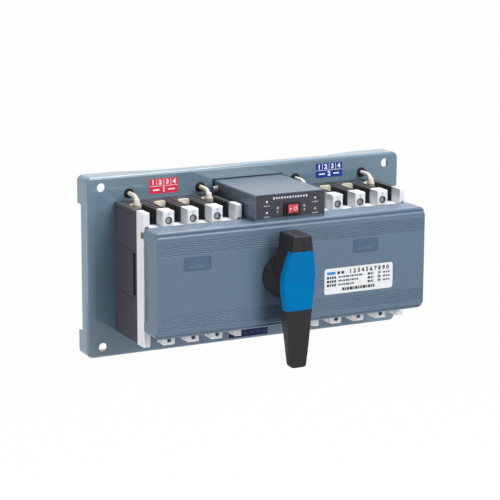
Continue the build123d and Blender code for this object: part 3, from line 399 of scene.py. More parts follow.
def rubber():
    """Black rubber of the grommets and the wires' bush."""
    return surface("black_rubber", srgb(26, 26, 27), 0.6, mottle=0.15, mottle_scale=200,
                   grain=0.03, specular=0.2)


def zinc_plate():
    """Bright zinc with brushed unevenness."""
    return surface("zinc_plated_steel", srgb(176, 177, 176), 0.34, metallic=1.0, mottle=0.12,
                   mottle_scale=260, grain=0.01, grain_scale=2600)


def dull_zinc():
    """Darker chromated zinc of the breakers' screws."""
    return surface("chromated_zinc", srgb(140, 141, 144), 0.42, metallic=1.0, mottle=0.14,
                   mottle_scale=260, grain=0.01, grain_scale=2600)


def galvanised():
    """Galvanised sheet with soft spangles."""
    return surface("galvanised_sheet", srgb(168, 171, 174), 0.4, metallic=1.0, mottle=0.16,
                   mottle_scale=130, rough_spread=0.1, grain=0.01)


def machined_steel():
    """Ground steel with fine lines round the shaft and gear."""
    return surface("machined_steel", srgb(168, 168, 170), 0.3, metallic=1.0, mottle=0.1,
                   mottle_scale=90, grain=0.008, grain_scale=1200, stretch=(1.0, 9.0, 1.0))


def cast_alloy():
    """Die-cast alloy with a sandy skin."""
    return surface("die_cast_alloy", srgb(158, 160, 163), 0.5, metallic=1.0, mottle=0.12,
                   mottle_scale=150, grain=0.05, grain_scale=900)


def brass():
    """Bright brass of the shaft's bush."""
    return surface("bright_brass", srgb(206, 170, 96), 0.3, metallic=1.0, mottle=0.12,
                   mottle_scale=200, grain=0.008)


def olive_brass():
    """Passivated brass of the cover's clips."""
    return surface("olive_passivated_brass", srgb(118, 118, 84), 0.4, metallic=0.8, mottle=0.14,
                   mottle_scale=200, grain=0.01)


def fuse_knob():
    """Slate plastic of the fuse's knob."""
    return surface("fuse_knob_moulding", srgb(88, 100, 122), 0.3, coat=0.5, mottle=0.04, grain=0.01,
                   specular=0.3)


def fuse_collar():
    """Bronzed collar that the fuse's knob screws into."""
    return surface("fuse_collar_bronze", srgb(124, 100, 88), 0.38, metallic=0.5, mottle=0.2,
                   mottle_scale=240, grain=0.01)


def tinned_brass():
    """Tinned terminal metal, creamy with brass showing through."""
    return surface("tinned_brass", srgb(236, 230, 206), 0.36, metallic=0.45, mottle=0.14,
                   mottle_scale=320, grain=0.012)


def motor_paint():
    """Dark enamel of the motor."""
    return surface("motor_paint", srgb(48, 49, 52), 0.32, mottle=0.06, grain=0.02)


def sleeve_rubber(colours):
    """Ivory woven sleeve of the sensing wires."""
    return surface("sensing_sleeve", colours.sleeve, 0.45, mottle=0.1, mottle_scale=420,
                   grain=0.12, grain_scale=900)


def board_resin():
    """Green solder resist with a speckle of tracks."""
    return surface("board_resist", srgb(34, 92, 56), 0.3, mottle=0.35, mottle_scale=260, grain=0.02)


def core_iron():
    """Laminated core, with its sheets as lines along the stack."""
    return surface("laminated_core", srgb(70, 70, 74), 0.45, metallic=0.7, mottle=0.5,
                   mottle_scale=40, grain=0.05, grain_scale=60, stretch=(1.0, 1.0, 30.0))


def relay_case():
    """Blue cases of the relays."""
    return surface("relay_case", srgb(40, 84, 158), 0.28, mottle=0.04, grain=0.01)


def connector_plastic():
    """Grey plastic of the board's header."""
    return surface("connector_plastic", srgb(96, 99, 104), 0.4, mottle=0.05, grain=0.02)


def lamp_lens():
    """Water-clear lens over a pale emitter."""
    material = surface("lamp_lens", srgb(222, 226, 226), 0.12, coat=0.6, mottle=0.05, grain=0.004)
    material.node_tree.nodes["Principled BSDF"].inputs["Transmission Weight"].default_value = 0.25
    return material


def print_ink(name, colour):
    """Flat printing ink with a slightly uneven lay-down."""
    return surface(name, colour, 0.42, mottle=0.04, mottle_scale=500, grain=0.004, edge=0)


def label_film(name, colour):
    """Printed plastic film."""
    return surface(name, colour, 0.36, mottle=0.03, mottle_scale=60, grain=0.006, edge=0,
                   specular=0.25)


def dress(material, *names):
    """Gives CAD nodes their finish."""
    for name in names:
        node = NODES[name]
        for slot in node.material_slots:
            slot.material = material
        if not node.material_slots:
            node.data.materials.append(material)


def both(name):
    """The node's names on the left and the right breaker."""
    return ("left_" + name, "right_" + name)


# ---------------------------------------------------------------- modelling helpers

def facing_front(bm):
    """Stands flat work up: what was drawn in X and Y lies in X and Z and faces the front."""
    bmesh.ops.rotate(bm, verts=bm.verts[:], cent=(0, 0, 0),
                     matrix=Matrix.Rotation(math.pi / 2, 3, "X"))


def thicken(bm, thickness):
    """Gives flat work that faces the front a thickness towards the front."""
    back = bm.faces[:]
    grown = bmesh.ops.extrude_face_region(bm, geom=back, use_keep_orig=True)
    moved = [part for part in grown["geom"] if isinstance(part, bmesh.types.BMVert)]
    bmesh.ops.translate(bm, verts=moved, vec=(0, -thickness, 0))
    bmesh.ops.recalc_face_normals(bm, faces=bm.faces[:])


def plate(width, height, thickness, corner=0.0):
    """A thin plate round the origin, its back on Y = 0."""
    bm = bmesh.new()
    bmesh.ops.create_grid(bm, x_segments=1, y_segments=1, size=0.5)
    bmesh.ops.scale(bm, verts=bm.verts[:], vec=(width, height, 1))
    if corner:
        bmesh.ops.bevel(bm, geom=bm.verts[:], offset=corner, segments=5, profile=0.5,
                        affect="VERTICES", material=-1)
    facing_front(bm)
    thicken(bm, thickness)
    return bm


def ring(outer, inner, thickness, sides=28):
    """A flat ring round the origin, its back on Y = 0."""
    bm = bmesh.new()
    edges = []
    for radius in (outer, inner):
        circle = bmesh.ops.create_circle(bm, cap_ends=False, segments=sides, radius=radius)
        edges += list({edge for vert in circle["verts"] for edge in vert.link_edges})
    bmesh.ops.bridge_loops(bm, edges=edges)
    facing_front(bm)
    thicken(bm, thickness)
    return bm


def lettering(text, size, thickness, weight=0.02):
    """Numbers or marks as a solid, centred on the origin, its back on Y = 0."""
    curve = bpy.data.curves.new("lettering", "FONT")
    curve.body = text
    curve.size = size
    curve.offset = weight * size
    curve.align_x = "CENTER"
    curve.align_y = "CENTER"
    curve.resolution_u = 3
    holder = bpy.data.objects.new("lettering", curve)
    bpy.context.scene.collection.objects.link(holder)
    bpy.context.view_layer.update()
    graph = bpy.context.evaluated_depsgraph_get()
    mesh = bpy.data.meshes.new_from_object(holder.evaluated_get(graph))
    bm = bmesh.new()
    bm.from_mesh(mesh)
    bpy.data.objects.remove(holder)
    bpy.data.curves.remove(curve)
    bpy.data.meshes.remove(mesh)
    bmesh.ops.remove_doubles(bm, verts=bm.verts[:], dist=WELD)
    facing_front(bm)
    thicken(bm, thickness)
    return bm


def turned(profile, sides=28):
    """A ring or cup turned about Z from a closed profile of radius and height."""
    bm = bmesh.new()
    verts = [bm.verts.new((radius, 0, height)) for radius, height in profile]
    edges = [bm.edges.new((verts[i - 1], verts[i])) for i in range(len(verts))]
    bmesh.ops.spin(bm, geom=verts + edges, cent=(0, 0, 0), axis=(0, 0, 1), angle=2 * math.pi,
                   steps=sides, use_merge=True)
    bmesh.ops.remove_doubles(bm, verts=bm.verts[:], dist=WELD)
    bmesh.ops.recalc_face_normals(bm, faces=bm.faces[:])
    return bm


def join(target, source, x, y, z):
    """Adds one bmesh to another at a place, and frees it."""
    bmesh.ops.translate(source, verts=source.verts[:], vec=(x, y, z))
    mesh = bpy.data.meshes.new("part")
    source.to_mesh(mesh)
    target.from_mesh(mesh)
    source.free()
    bpy.data.meshes.remove(mesh)


def word_bars(ink, left, right, face, z, height):
    """A line of print without words: bars of uneven length with gaps, between two X."""
    lengths = (3.1, 1.7, 2.4, 4.2, 1.4)
    gap = 0.8 * MM
    x = left
    i = 0
    while x < right:
        end = min(right, x + lengths[i % len(lengths)] * MM)
        join(ink, plate(end - x, height, INK), (x + end) / 2, face, z)
        x = end + gap
        i += 1


def piece(name, bm, material, body, smooth=False):
    """Makes a finished object of a bmesh and lets it ride on a body."""
    mesh = bpy.data.meshes.new(name)
    bm.to_mesh(mesh)
    bm.free()
    mesh.materials.append(material)
    for face in mesh.polygons:
        face.use_smooth = smooth
    thing = bpy.data.objects.new(name, mesh)
    bpy.context.scene.collection.objects.link(thing)
    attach(thing, body)
    return thing


# ---------------------------------------------------------------- finishes of the CAD nodes

class TSWITCH_OT_painted_finish(bpy.types.Operator):
    """Paint the pan, the front cover and the control box"""

    bl_idname = "tswitch.painted_finish"
    bl_label = "Painted parts"

    def execute(self, context):
        colours = context.scene.switch_colours
        dress(pan_paint(colours), "base_pan")
        dress(cover_moulding(colours), "front_cover")
        dress(box_paint(colours), "box_shell", "box_bottom")
        return {"FINISHED"}


class TSWITCH_OT_breaker_finish(bpy.types.Operator):
    """Finish the breakers, their toggles and their terminals"""

    bl_idname = "tswitch.breaker_finish"
    bl_label = "Breakers"

    def execute(self, context):
        colours = context.scene.switch_colours
        dress(base_moulding(colours), *both("breaker_base"))
        dress(white_moulding(colours), *both("breaker_cover"))
        dress(toggle_moulding(), *both("toggle"))
        dress(tinned_brass(), *both("line_terminals"), *both("load_terminals"), "ring_lugs")
        dress(dull_zinc(), *both("post_screws"))
        dress(zinc_plate(), *both("terminal_screws"), "rear_screws", "aux_terminal_screws",
              "cover_screws", "handle_screw")
        return {"FINISHED"}


class TSWITCH_OT_drive_finish(bpy.types.Operator):
    """Finish the mechanism behind the front cover"""

    bl_idname = "tswitch.drive_finish"
    bl_label = "Drive"

    def execute(self, context):
        dress(galvanised(), "mechanism_plate", *both("drive_slide"))
        dress(machined_steel(), "handle_shaft", "drive_pinion", "guide_screws")
        dress(zinc_plate(), "plate_standoffs", "plate_screws", "gearbox_screws")
        dress(cast_alloy(), "gearbox_housing")
        dress(motor_paint(), "gear_motor")
        dress(brass(), "shaft_bush")
        dress(olive_brass(), "cover_clips")
        dress(toggle_moulding(), "limit_switches", "aux_terminal_block")
        return {"FINISHED"}


class TSWITCH_OT_handle_finish(bpy.types.Operator):
    """Finish the handle and its insert"""

    bl_idname = "tswitch.handle_finish"
    bl_label = "Handle"

    def execute(self, context):
        colours = context.scene.switch_colours
        dress(handle_moulding(colours), "handle_body")
        dress(insert_moulding(colours), "handle_insert")
        return {"FINISHED"}


class TSWITCH_OT_control_finish(bpy.types.Operator):
    """Finish the panel, the rocker, the lamps and what the box holds"""

    bl_idname = "tswitch.control_finish"
    bl_label = "Control box"

    def execute(self, context):
        colours = context.scene.switch_colours
        dress(panel_moulding(colours), "control_panel")
        dress(frame_moulding(), "rocker_frame")
        dress(rocker_moulding(colours), "rocker")
        dress(lamp_lens(), "indicator_lamps")
        dress(board_resin(), "circuit_board")
        dress(core_iron(), "board_transformer")
        dress(relay_case(), "board_relays")
        dress(connector_plastic(), "board_connector")
        dress(fuse_knob(), "fuse_cap")
        dress(fuse_collar(), "fuse_holder")
        dress(rubber(), "wire_grommets", "wire_bush")
        return {"FINISHED"}


# ---------------------------------------------------------------- labels and marks

def sticker(name, film, width, height, corner, place):
    """A label with round corners, its back on the plane that its place lies on."""
    sheet = plate(width, height, FILM, corner)
    bmesh.ops.translate(sheet, verts=sheet.verts[:], vec=place)
    piece(name, sheet, film, "frame_body")


class TSWITCH_OT_supply_labels(bpy.types.Operator):
    """Stick a numbered label above each breaker: four cells over one wide cell"""

    bl_idname = "tswitch.supply_labels"
    bl_label = "Supply labels"

    def execute(self, context):
        colours = context.scene.switch_colours
        labels = context.scene.switch_labels
        width, height = labels.supply_w, labels.supply_h
        cell = width / SUPPLY_CELLS
        line = 0.5 * MM
        digit = 7.4 * MM
        weight = 0.05
        bar_w, bar_h = 8 * MM, 1.6 * MM
        level_margin, upright_margin = 0.6 * MM, 1 * MM
        face = PAN_FACE - FILM
        white = print_ink("label_white_ink", srgb(246, 246, 248))
        places = (("left", labels.left_x, labels.left_z, colours.label_red, "1"),
                  ("right", labels.right_x, labels.right_z, colours.label_blue, "2"))
        for side, x, z, colour, number in places:
            film = label_film(side + "_supply_film", colour)
            sticker(side + "_supply_label", film, width, height, 0.5 * MM, (x, PAN_FACE, z))
            ink = bmesh.new()
            join(ink, plate(width - level_margin, line, INK), x, face, z)
            for i in range(SUPPLY_CELLS - 1):
                join(ink, plate(line, height / 2 - upright_margin, INK), x + (i - 1) * cell, face,
                     z + height / 4)
            for i in range(SUPPLY_CELLS):
                join(ink, lettering(str(i + 1), digit, INK, weight), x + (i - 1.5) * cell, face,
                     z + height * UPPER_ROW)
            join(ink, lettering(number, digit, INK, weight), x, face, z + height * LOWER_ROW)
            for shift in (-SUPPLY_BAR_SHIFT, SUPPLY_BAR_SHIFT):
                join(ink, plate(bar_w, bar_h, INK), x + shift * width, face, z + height * LOWER_ROW)
            piece(side + "_supply_print", ink, white, "frame_body")
        return {"FINISHED"}


class TSWITCH_OT_rating_label(bpy.types.Operator):
    """Stick the white label on the front cover, with bars and plain numbers"""

    bl_idname = "tswitch.rating_label"
    bl_label = "White label"

    def execute(self, context):
        labels = context.scene.switch_labels
        width, height = labels.rating_w, labels.rating_h
        x, z = labels.rating_x, labels.rating_z
        film = label_film("white_label_film", srgb(230, 232, 234))
        sticker("rating_label", film, width, height, 3 * MM, (x, COVER_FACE, z))
        face = COVER_FACE - FILM
        left = x - width / 2
        top = z + height / 2
        title_z = top - 5.6 * MM
        digit_z = top - 5.2 * MM
        foot_z = top - 25 * MM
        first_drop, row_pitch = 10.6, 4.4
        first_digit, digit_pitch = 33.5, 5.4
        first_square, square_pitch = 18.2, 5.2
        square = 3.4 * MM
        bold_h, fine_h, foot_h = 2.8 * MM, 2.0 * MM, 3.4 * MM

        def bars(ink, column, bar_z, bar_h):
            word_bars(ink, left + column[0] * MM, left + column[1] * MM, face, bar_z, bar_h)

        blue = bmesh.new()
        join(blue, plate(11 * MM, 3.2 * MM, INK, corner=1 * MM), left + 8.6 * MM, face, title_z)
        piece("rating_blue_bar", blue, print_ink("label_blue_ink", srgb(20, 134, 214)),
              "frame_body")
        bold = bmesh.new()
        for i in range(10):
            join(bold, lettering(str((i + 1) % 10), 6.6 * MM, INK, 0.045),
                 left + (first_digit + digit_pitch * i) * MM, face, digit_z)
        for i in range(2):
            join(bold, plate(square, square, INK, corner=0.8 * MM),
                 left + (first_square + square_pitch * i) * MM, face, title_z)
        bars(bold, FOOT_COLUMN, foot_z, foot_h)
        fine = bmesh.new()
        for row in range(3):
            row_z = top - (first_drop + row_pitch * row) * MM
            bars(bold, KEY_COLUMN, row_z, bold_h)
            bars(fine, (VALUE_START, VALUE_END - VALUE_STEP * row), row_z, fine_h)
            bars(bold, SECOND_KEY_COLUMN, row_z, bold_h)
            number = str(10 * (row + 1))
            join(fine, lettering(number, 4.0 * MM, INK, 0.06), left + NUMBER_COLUMN * MM, face, row_z)
            bars(fine, UNIT_COLUMN, row_z, fine_h)
        piece("rating_bold_print", bold, print_ink("label_dark_ink", srgb(26, 28, 34)),
              "frame_body")
        piece("rating_fine_print", fine, print_ink("label_grey_ink", srgb(74, 78, 88)),
              "frame_body")
        return {"FINISHED"}


class TSWITCH_OT_strip_label(bpy.types.Operator):
    """Stick the numbered label below the terminal strip"""

    bl_idname = "tswitch.strip_label"
    bl_label = "Strip label"

    def execute(self, context):
        colours = context.scene.switch_colours
        labels = context.scene.switch_labels
        width, height = labels.strip_w, labels.strip_h
        x, z = labels.strip_x, labels.strip_z
        film = label_film("strip_label_film", colours.label_navy)
        sticker("strip_label", film, width, height, 0.4 * MM, (x, PAN_FACE, z))
        ink = bmesh.new()
        face = PAN_FACE - FILM
        ways = 6
        pitch = width / ways
        digit, digit_rise = 4.4 * MM, 1.6 * MM
        dash_h, dash_drop = 0.5 * MM, 3.2 * MM
        for i in range(ways):
            way_x = x + (i - (ways - 1) / 2) * pitch
            join(ink, lettering(str(i + 1), digit, INK), way_x, face, z + digit_rise)
            join(ink, plate(pitch * 0.5, dash_h, INK), way_x, face, z - dash_drop)
        pale = print_ink("strip_pale_ink", srgb(96, 100, 160))
        piece("strip_print", ink, pale, "frame_body")
        return {"FINISHED"}


class TSWITCH_OT_panel_marks(bpy.types.Operator):
    """Print small numbers under the lamps and marks beside the rocker"""

    bl_idname = "tswitch.panel_marks"
    bl_label = "Panel marks"

    def execute(self, context):
        ink = bmesh.new()
        for i, (x, z) in enumerate(LAMP_PLACES):
            mark_z = (z - LAMP_NUMBER_DROP) * MM
            join(ink, lettering(str(i + 1), 3.0 * MM, INK, 0.03), x * MM, PANEL_FACE, mark_z)
            for shift in (-LAMP_DASH_SHIFT, LAMP_DASH_SHIFT):
                join(ink, plate(1.8 * MM, 0.8 * MM, INK), (x + shift) * MM, PANEL_FACE, mark_z)
        for x in SIDE_MARKS_X:
            join(ink, ring(1.3 * MM, 0.7 * MM, INK), x * MM, PANEL_FACE, SIDE_RING_Z * MM)
            join(ink, plate(0.9 * MM, 2.2 * MM, INK), x * MM, PANEL_FACE, SIDE_DASH_Z * MM)
        for i in range(TITLE_BARS):
            height = (2.0 if i % 3 else 2.5) * MM
            join(ink, plate(1.9 * MM, height, INK), (TITLE_START_X + TITLE_PITCH * i) * MM,
                 PANEL_FACE, TITLE_Z * MM)
        pale = print_ink("panel_pale_ink", srgb(222, 222, 226))
        piece("panel_print", ink, pale, "frame_body")
        return {"FINISHED"}


class TSWITCH_OT_rocker_marks(bpy.types.Operator):
    """Print the on and off marks on the two faces of the rocker"""

    bl_idname = "tswitch.rocker_marks"
    bl_label = "Rocker marks"

    def execute(self, context):
        low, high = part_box("rocker")
        middle_z = (low.z + high.z) / 2
        tilt = Matrix.Rotation(ROCKER_TILT, 4, "Z")
        ink = bmesh.new()
        dash = plate(3.4 * MM, 1.0 * MM, INK)
        circle = ring(2.2 * MM, 1.45 * MM, INK)
        for sign, mark in ((-1, dash), (1, circle)):
            slope = Matrix.Rotation(-sign * ROCKER_SLOPE, 4, "Z")
            bmesh.ops.transform(mark, matrix=slope, verts=mark.verts[:])
            spot = tilt @ Vector((sign * ROCKER_MARK_X, ROCKER_MARK_Y, 0))
            bmesh.ops.transform(mark, matrix=tilt, verts=mark.verts[:])
            join(ink, mark, ROCKER_PIVOT_X + spot.x, ROCKER_PIVOT_Y + spot.y, middle_z)
        white = print_ink("rocker_white_ink", srgb(245, 236, 238))
        piece("rocker_print", ink, white, "rocker_key")
        return {"FINISHED"}


# ---------------------------------------------------------------- fitted pieces

def painted_rim_shade():
    """Dark grey of painted shade, in place of the shadow in the holes that the breakers' screws sink
    into.
    """
    return surface("screw_hole_wall", srgb(70, 71, 74), 0.6, mottle=0.1, grain=0.01, edge=0,
                   specular=0.1)


def post_places():
    """Middle X of the posts between the poles of both breakers."""
    return [BREAKER_SHIFT + side * BREAKER_X + i * POLE_PITCH
            for side in (-1, 1) for i in (-1, 0, 1)]


class TSWITCH_OT_post_marks(bpy.types.Operator):
    """Mark each upper post with the number of its pole"""

    bl_idname = "tswitch.post_marks"
    bl_label = "Post marks"

    def execute(self, context):
        ink = bmesh.new()
        for i, x in enumerate(post_places()):
            join(ink, lettering(str(i % 3 + 1), 3.4 * MM, INK, 0.03), x, BREAKER_FACE,
                 POST_NUMBER_Z)
        piece("post_numbers", ink, print_ink("post_grey_ink", srgb(96, 98, 104)), "frame_body")
        return {"FINISHED"}


class TSWITCH_OT_painted_screw_shade(bpy.types.Operator):
    """Paint shade round the mouth of each screw hole in the posts: dark rings for the holes' shadow
    """

    bl_idname = "tswitch.screw_rims"
    bl_label = "Screw rims"

    def execute(self, context):
        rims = bmesh.new()
        for x in post_places():
            # Painted shade: a dark ring at the mouth of each upper and lower screw hole, for the
            # shadow inside it.
            join(rims, ring(*POST_SCREW_SHADE_RING, INK), x, BREAKER_FACE, POST_SCREW_Z)
            join(rims, ring(*LOW_SCREW_SHADE_RING, INK), x, BREAKER_FACE, LOW_SCREW_Z)
        piece("post_screw_rims", rims, painted_rim_shade(), "frame_body")
        return {"FINISHED"}


class TSWITCH_OT_recess_plates(bpy.types.Operator):
    """Lay a framed plate with embossed bars into each recess of the front cover"""

    bl_idname = "tswitch.recess_plates"
    bl_label = "Recess plates"

    def execute(self, context):
        rim_w, rim_t = 0.9 * MM, 0.5 * MM
        pad_t = 0.6 * MM
        pad_w, pad_h = RECESS_W - 2 * rim_w, RECESS_H - 2 * rim_w
        bars_half, bar_h, bar_drop = 9 * MM, 2.4 * MM, 3.4 * MM
        floor = COVER_FACE + RECESS_DEPTH
        rims = bmesh.new()
        pads = bmesh.new()
        bars = bmesh.new()
        for x in RECESS_XS:
            join(rims, plate(RECESS_W, RECESS_H, rim_t, corner=1.9 * MM), x, floor, RECESS_Z)
            join(pads, plate(pad_w, pad_h, pad_t, corner=1 * MM), x, floor, RECESS_Z)
            word_bars(bars, x - bars_half, x + bars_half, floor - pad_t, RECESS_Z - bar_drop, bar_h)
        for name, bm, shade in (("recess_rims", rims, srgb(66, 90, 111)),
                                ("recess_pads", pads, srgb(66, 91, 113)),
                                ("recess_bars", bars, srgb(84, 109, 131))):
            piece(name, bm, surface(name + "_moulding", shade, 0.4, mottle=0.02, grain=0.003),
                  "frame_body")
        return {"FINISHED"}


class TSWITCH_OT_box_painted_shadow(bpy.types.Operator):
    """Paint the shadow where the control box meets the pan: dark slate strips along its top and down
    its upper sides
    """

    bl_idname = "tswitch.box_seal"
    bl_label = "Box seal"

    def execute(self, context):
        low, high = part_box("box_shell")
        shadow_w = 1.2 * MM
        depth = 1.0 * MM
        side_h = 14 * MM
        shadow_strips = bmesh.new()
        join(shadow_strips, plate(high.x - low.x + 2 * shadow_w, shadow_w, depth), (low.x + high.x) / 2, PAN_FACE,
             high.z + shadow_w / 2)
        for x in (low.x - shadow_w / 2, high.x + shadow_w / 2):
            join(shadow_strips, plate(shadow_w, side_h, depth), x, PAN_FACE, high.z - side_h / 2)
        # Painted shadow: a dark slate colour on strips standing out of the pan, in place of the
        # shadow round the box.
        shadow_paint = surface("seal_compound", srgb(38, 48, 58), 0.5, mottle=0.12, mottle_scale=150,
                        grain=0.03, specular=0.2)
        piece("box_seal", shadow_strips, shadow_paint, "frame_body")
        return {"FINISHED"}


def wire_route(x):
    """Control points of one wire, from its lug, through the pan and into the control box."""
    inward = -math.copysign(1, x)
    hole_x = x + GROMMET_DX
    start = [(x, LUG_Y, BARREL_Z), (x, LUG_Y, GROMMET_Z), (hole_x, BEFORE_PAN_Y, GROMMET_Z),
             (hole_x, BEHIND_Y, GROMMET_Z)]
    if abs(x) < BREAKER_X:
        turn_x = -inward * SHORT_TURN_X
        return start + [(turn_x, BEHIND_Y, GROMMET_Z), (turn_x, END_Y, GROMMET_Z)]
    turn_x = -inward * LONG_TURN_X
    return start + [(x + inward * LONG_RUN_IN, BEHIND_Y, LONG_RUN_Z), (turn_x, BEHIND_Y, LONG_RUN_Z),
                    (turn_x, END_Y, LONG_RUN_Z)]


def wire(name, points, material):
    """A round wire along one smooth spline with those control points."""
    curve = bpy.data.curves.new(name, "CURVE")
    curve.dimensions = "3D"
    curve.resolution_u = 10
    curve.bevel_depth = WIRE_DIAMETER / 2
    curve.bevel_resolution = 3
    curve.use_fill_caps = True
    spline = curve.splines.new("NURBS")
    spline.points.add(len(points) - 1)
    for point, place in zip(spline.points, points):
        point.co = (*place, 1.0)
    spline.order_u = 3
    spline.use_endpoint_u = True
    curve.materials.append(material)
    thing = bpy.data.objects.new(name, curve)
    bpy.context.scene.collection.objects.link(thing)
    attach(thing, "frame_body")
    return thing


class TSWITCH_OT_sensing_wires(bpy.types.Operator):
    """Lay the four sleeved sensing wires and flare their sleeves over the lugs"""

    bl_idname = "tswitch.sensing_wires"
    bl_label = "Sensing wires"

    def execute(self, context):
        sleeve = sleeve_rubber(context.scene.switch_colours)
        poles = (("outer", 1.5, LONG_WIRE), ("inner", -1.5, SHORT_WIRE))
        for side, sign in (("left", -1), ("right", 1)):
            flares = bmesh.new()
            for pole, offset, length in poles:
                x = BREAKER_SHIFT + sign * (BREAKER_X + offset * POLE_PITCH)
                thing = wire(side + "_" + pole + "_wire", wire_route(x), sleeve)
                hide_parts(side + "_sensing_wires")
                flare = turned([(radius * MM, height * MM) for radius, height in FLARE_SECTION])
                join(flares, flare, x, LUG_Y, 0)
            piece(side + "_sleeve_flares", flares, sleeve, "frame_body", smooth=True)
        return {"FINISHED"}


# ---------------------------------------------------------------- studio

def soft_box(name, place, aim, width, height, power):
    """A rectangular lamp that points at a place."""
    data = bpy.data.lights.new(name, "AREA")
    data.shape = "RECTANGLE"
    data.size = width
    data.size_y = height
    data.energy = power
    lamp = bpy.data.objects.new(name, data)
    lamp.location = place
    lamp.rotation_euler = (Vector(aim) - Vector(place)).to_track_quat("-Z", "Y").to_euler()
    bpy.context.scene.collection.objects.link(lamp)


def seen_or_mirrored(tree):
    """1 for a ray from the camera, or one that gloss or glass sends on, and 0 for light."""
    path = linked(tree, "ShaderNodeLightPath")
    total = path.outputs["Is Camera Ray"]
    for name in ("Is Glossy Ray", "Is Transmission Ray"):
        add = linked(tree, "ShaderNodeMath", operation="ADD", use_clamp=True)
        tree.links.new(total, add.inputs[0])
        tree.links.new(path.outputs[name], add.inputs[1])
        total = add.outputs["Value"]
    return total


def floor_material():
    """Pale floor that shows white to the camera and in gloss, and still takes a shadow."""
    material = bpy.data.materials.new("studio_floor")
    material.use_nodes = True
    tree = material.node_tree
    shader = tree.nodes["Principled BSDF"]
    shader.inputs["Base Color"].default_value = (0.9, 0.9, 0.9, 1.0)
    shader.inputs["Roughness"].default_value = 0.9
    glow = linked(tree, "ShaderNodeEmission")
    mix = linked(tree, "ShaderNodeMixShader")
    share = linked(tree, "ShaderNodeMath", operation="MULTIPLY")
    share.inputs[1].default_value = FLOOR_GLOW
    tree.links.new(seen_or_mirrored(tree), share.inputs[0])
    tree.links.new(share.outputs["Value"], mix.inputs["Fac"])
    tree.links.new(shader.outputs["BSDF"], mix.inputs[1])
    tree.links.new(glow.outputs["Emission"], mix.inputs[2])
    tree.links.new(mix.outputs["Shader"], tree.nodes["Material Output"].inputs["Surface"])
    return material


def white_room(world, ambient):
    """Even room light that shows as plain white behind the object and in its gloss."""
    world.use_nodes = True
    tree = world.node_tree
    tree.nodes.clear()
    out = linked(tree, "ShaderNodeOutputWorld")
    room = linked(tree, "ShaderNodeBackground")
    room.inputs["Strength"].default_value = ambient
    seen = linked(tree, "ShaderNodeBackground")
    for shader in (room, seen):
        shader.inputs["Color"].default_value = WHITE
    mix = linked(tree, "ShaderNodeMixShader")
    tree.links.new(seen_or_mirrored(tree), mix.inputs["Fac"])
    tree.links.new(room.outputs["Background"], mix.inputs[1])
    tree.links.new(seen.outputs["Background"], mix.inputs[2])
    tree.links.new(mix.outputs["Shader"], out.inputs["Surface"])


class TSWITCH_OT_studio(bpy.types.Operator):
    """Set up the floor, the soft boxes, the room light and the camera"""

    bl_idname = "tswitch.studio"
    bl_label = "Studio"

    def execute(self, context):
        studio = context.scene.switch_studio
        scene = context.scene
        scene.view_settings.view_transform = "Standard"
        floor = bmesh.new()
        bmesh.ops.create_grid(floor, x_segments=4, y_segments=4, size=FLOOR_HALF)
        mesh = bpy.data.meshes.new("studio_floor")
        floor.to_mesh(mesh)
        floor.free()
        mesh.transform(Matrix.Translation((0, 0, studio.floor_drop)))
        mesh.materials.append(floor_material())
        ground = bpy.data.objects.new("studio_floor", mesh)
        scene.collection.objects.link(ground)
        for name, place, size, power in SOFT_BOXES:
            soft_box(name, place, LAMP_AIM, *size, getattr(studio, power))
        if scene.world is None:
            scene.world = bpy.data.worlds.new("studio_room")
        white_room(scene.world, studio.ambient)

        data = bpy.data.cameras.new("camera")
        data.lens = studio.lens
        data.sensor_width = 36.0
        data.clip_end = 80.0
        camera = bpy.data.objects.new("camera", data)
        scene.collection.objects.link(camera)
        aim = Vector(CAMERA_AIM) * MM
        across = math.cos(studio.elevation) * studio.distance
        camera.location = aim + Vector((-math.sin(studio.azimuth) * across,
                                        -math.cos(studio.azimuth) * across,
                                        math.sin(studio.elevation) * studio.distance))
        look = (aim - camera.location).to_track_quat("-Z", "Y").to_matrix()
        rolled = look @ Matrix.Rotation(studio.roll, 3, "Z")
        camera.rotation_euler = rolled.to_euler()
        scene.camera = camera
        return {"FINISHED"}


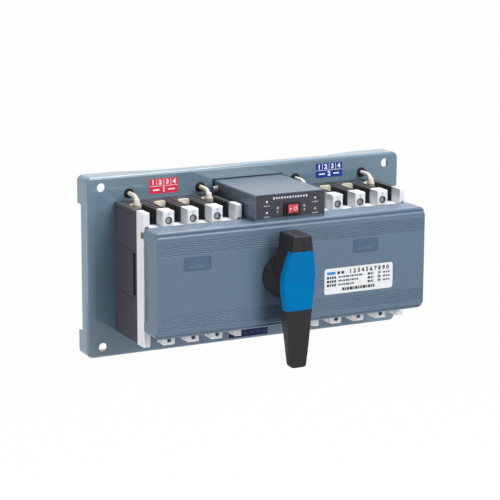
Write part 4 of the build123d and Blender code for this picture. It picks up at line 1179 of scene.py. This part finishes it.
# ---------------------------------------------------------------- add-on

STEPS = (
    TSWITCH_OT_studio,
    TSWITCH_OT_sensing_wires,
    TSWITCH_OT_painted_finish,
    TSWITCH_OT_breaker_finish,
    TSWITCH_OT_drive_finish,
    TSWITCH_OT_handle_finish,
    TSWITCH_OT_control_finish,
    TSWITCH_OT_supply_labels,
    TSWITCH_OT_rating_label,
    TSWITCH_OT_strip_label,
    TSWITCH_OT_panel_marks,
    TSWITCH_OT_rocker_marks,
    TSWITCH_OT_post_marks,
    TSWITCH_OT_painted_screw_shade,
    TSWITCH_OT_recess_plates,
    TSWITCH_OT_box_painted_shadow,
)


class TSWITCH_PT_sidebar(bpy.types.Panel):
    """Lists the settings and the steps"""

    bl_idname = "TSWITCH_PT_sidebar"
    bl_label = "Transfer Switch"
    bl_space_type = "VIEW_3D"
    bl_region_type = "UI"
    bl_category = "Transfer Switch"

    def draw(self, context):
        layout = self.layout
        for group in ("switch_colours", "switch_labels", "switch_studio"):
            settings = getattr(context.scene, group)
            column = layout.column(align=True)
            for name in settings.__annotations__:
                column.prop(settings, name)
        for step in STEPS:
            layout.operator(step.bl_idname)


GROUPS = {
    "switch_colours": SwitchColours,
    "switch_labels": SwitchLabels,
    "switch_studio": SwitchStudio,
}


def register():
    """Adds the settings, the steps and the panel."""
    for group in GROUPS.values():
        bpy.utils.register_class(group)
    for step in STEPS:
        bpy.utils.register_class(step)
    bpy.utils.register_class(TSWITCH_PT_sidebar)
    for name, group in GROUPS.items():
        setattr(bpy.types.Scene, name, PointerProperty(type=group))


def unregister():
    """Takes them away again."""
    for name in GROUPS:
        delattr(bpy.types.Scene, name)
    bpy.utils.unregister_class(TSWITCH_PT_sidebar)
    for step in reversed(STEPS):
        bpy.utils.unregister_class(step)
    for group in GROUPS.values():
        bpy.utils.unregister_class(group)


def main():
    """Runs every step in order."""
    register()
    for step in STEPS:
        category, name = step.bl_idname.split(".")
        getattr(getattr(bpy.ops, category), name)()


if __name__ == "__main__":
    main()
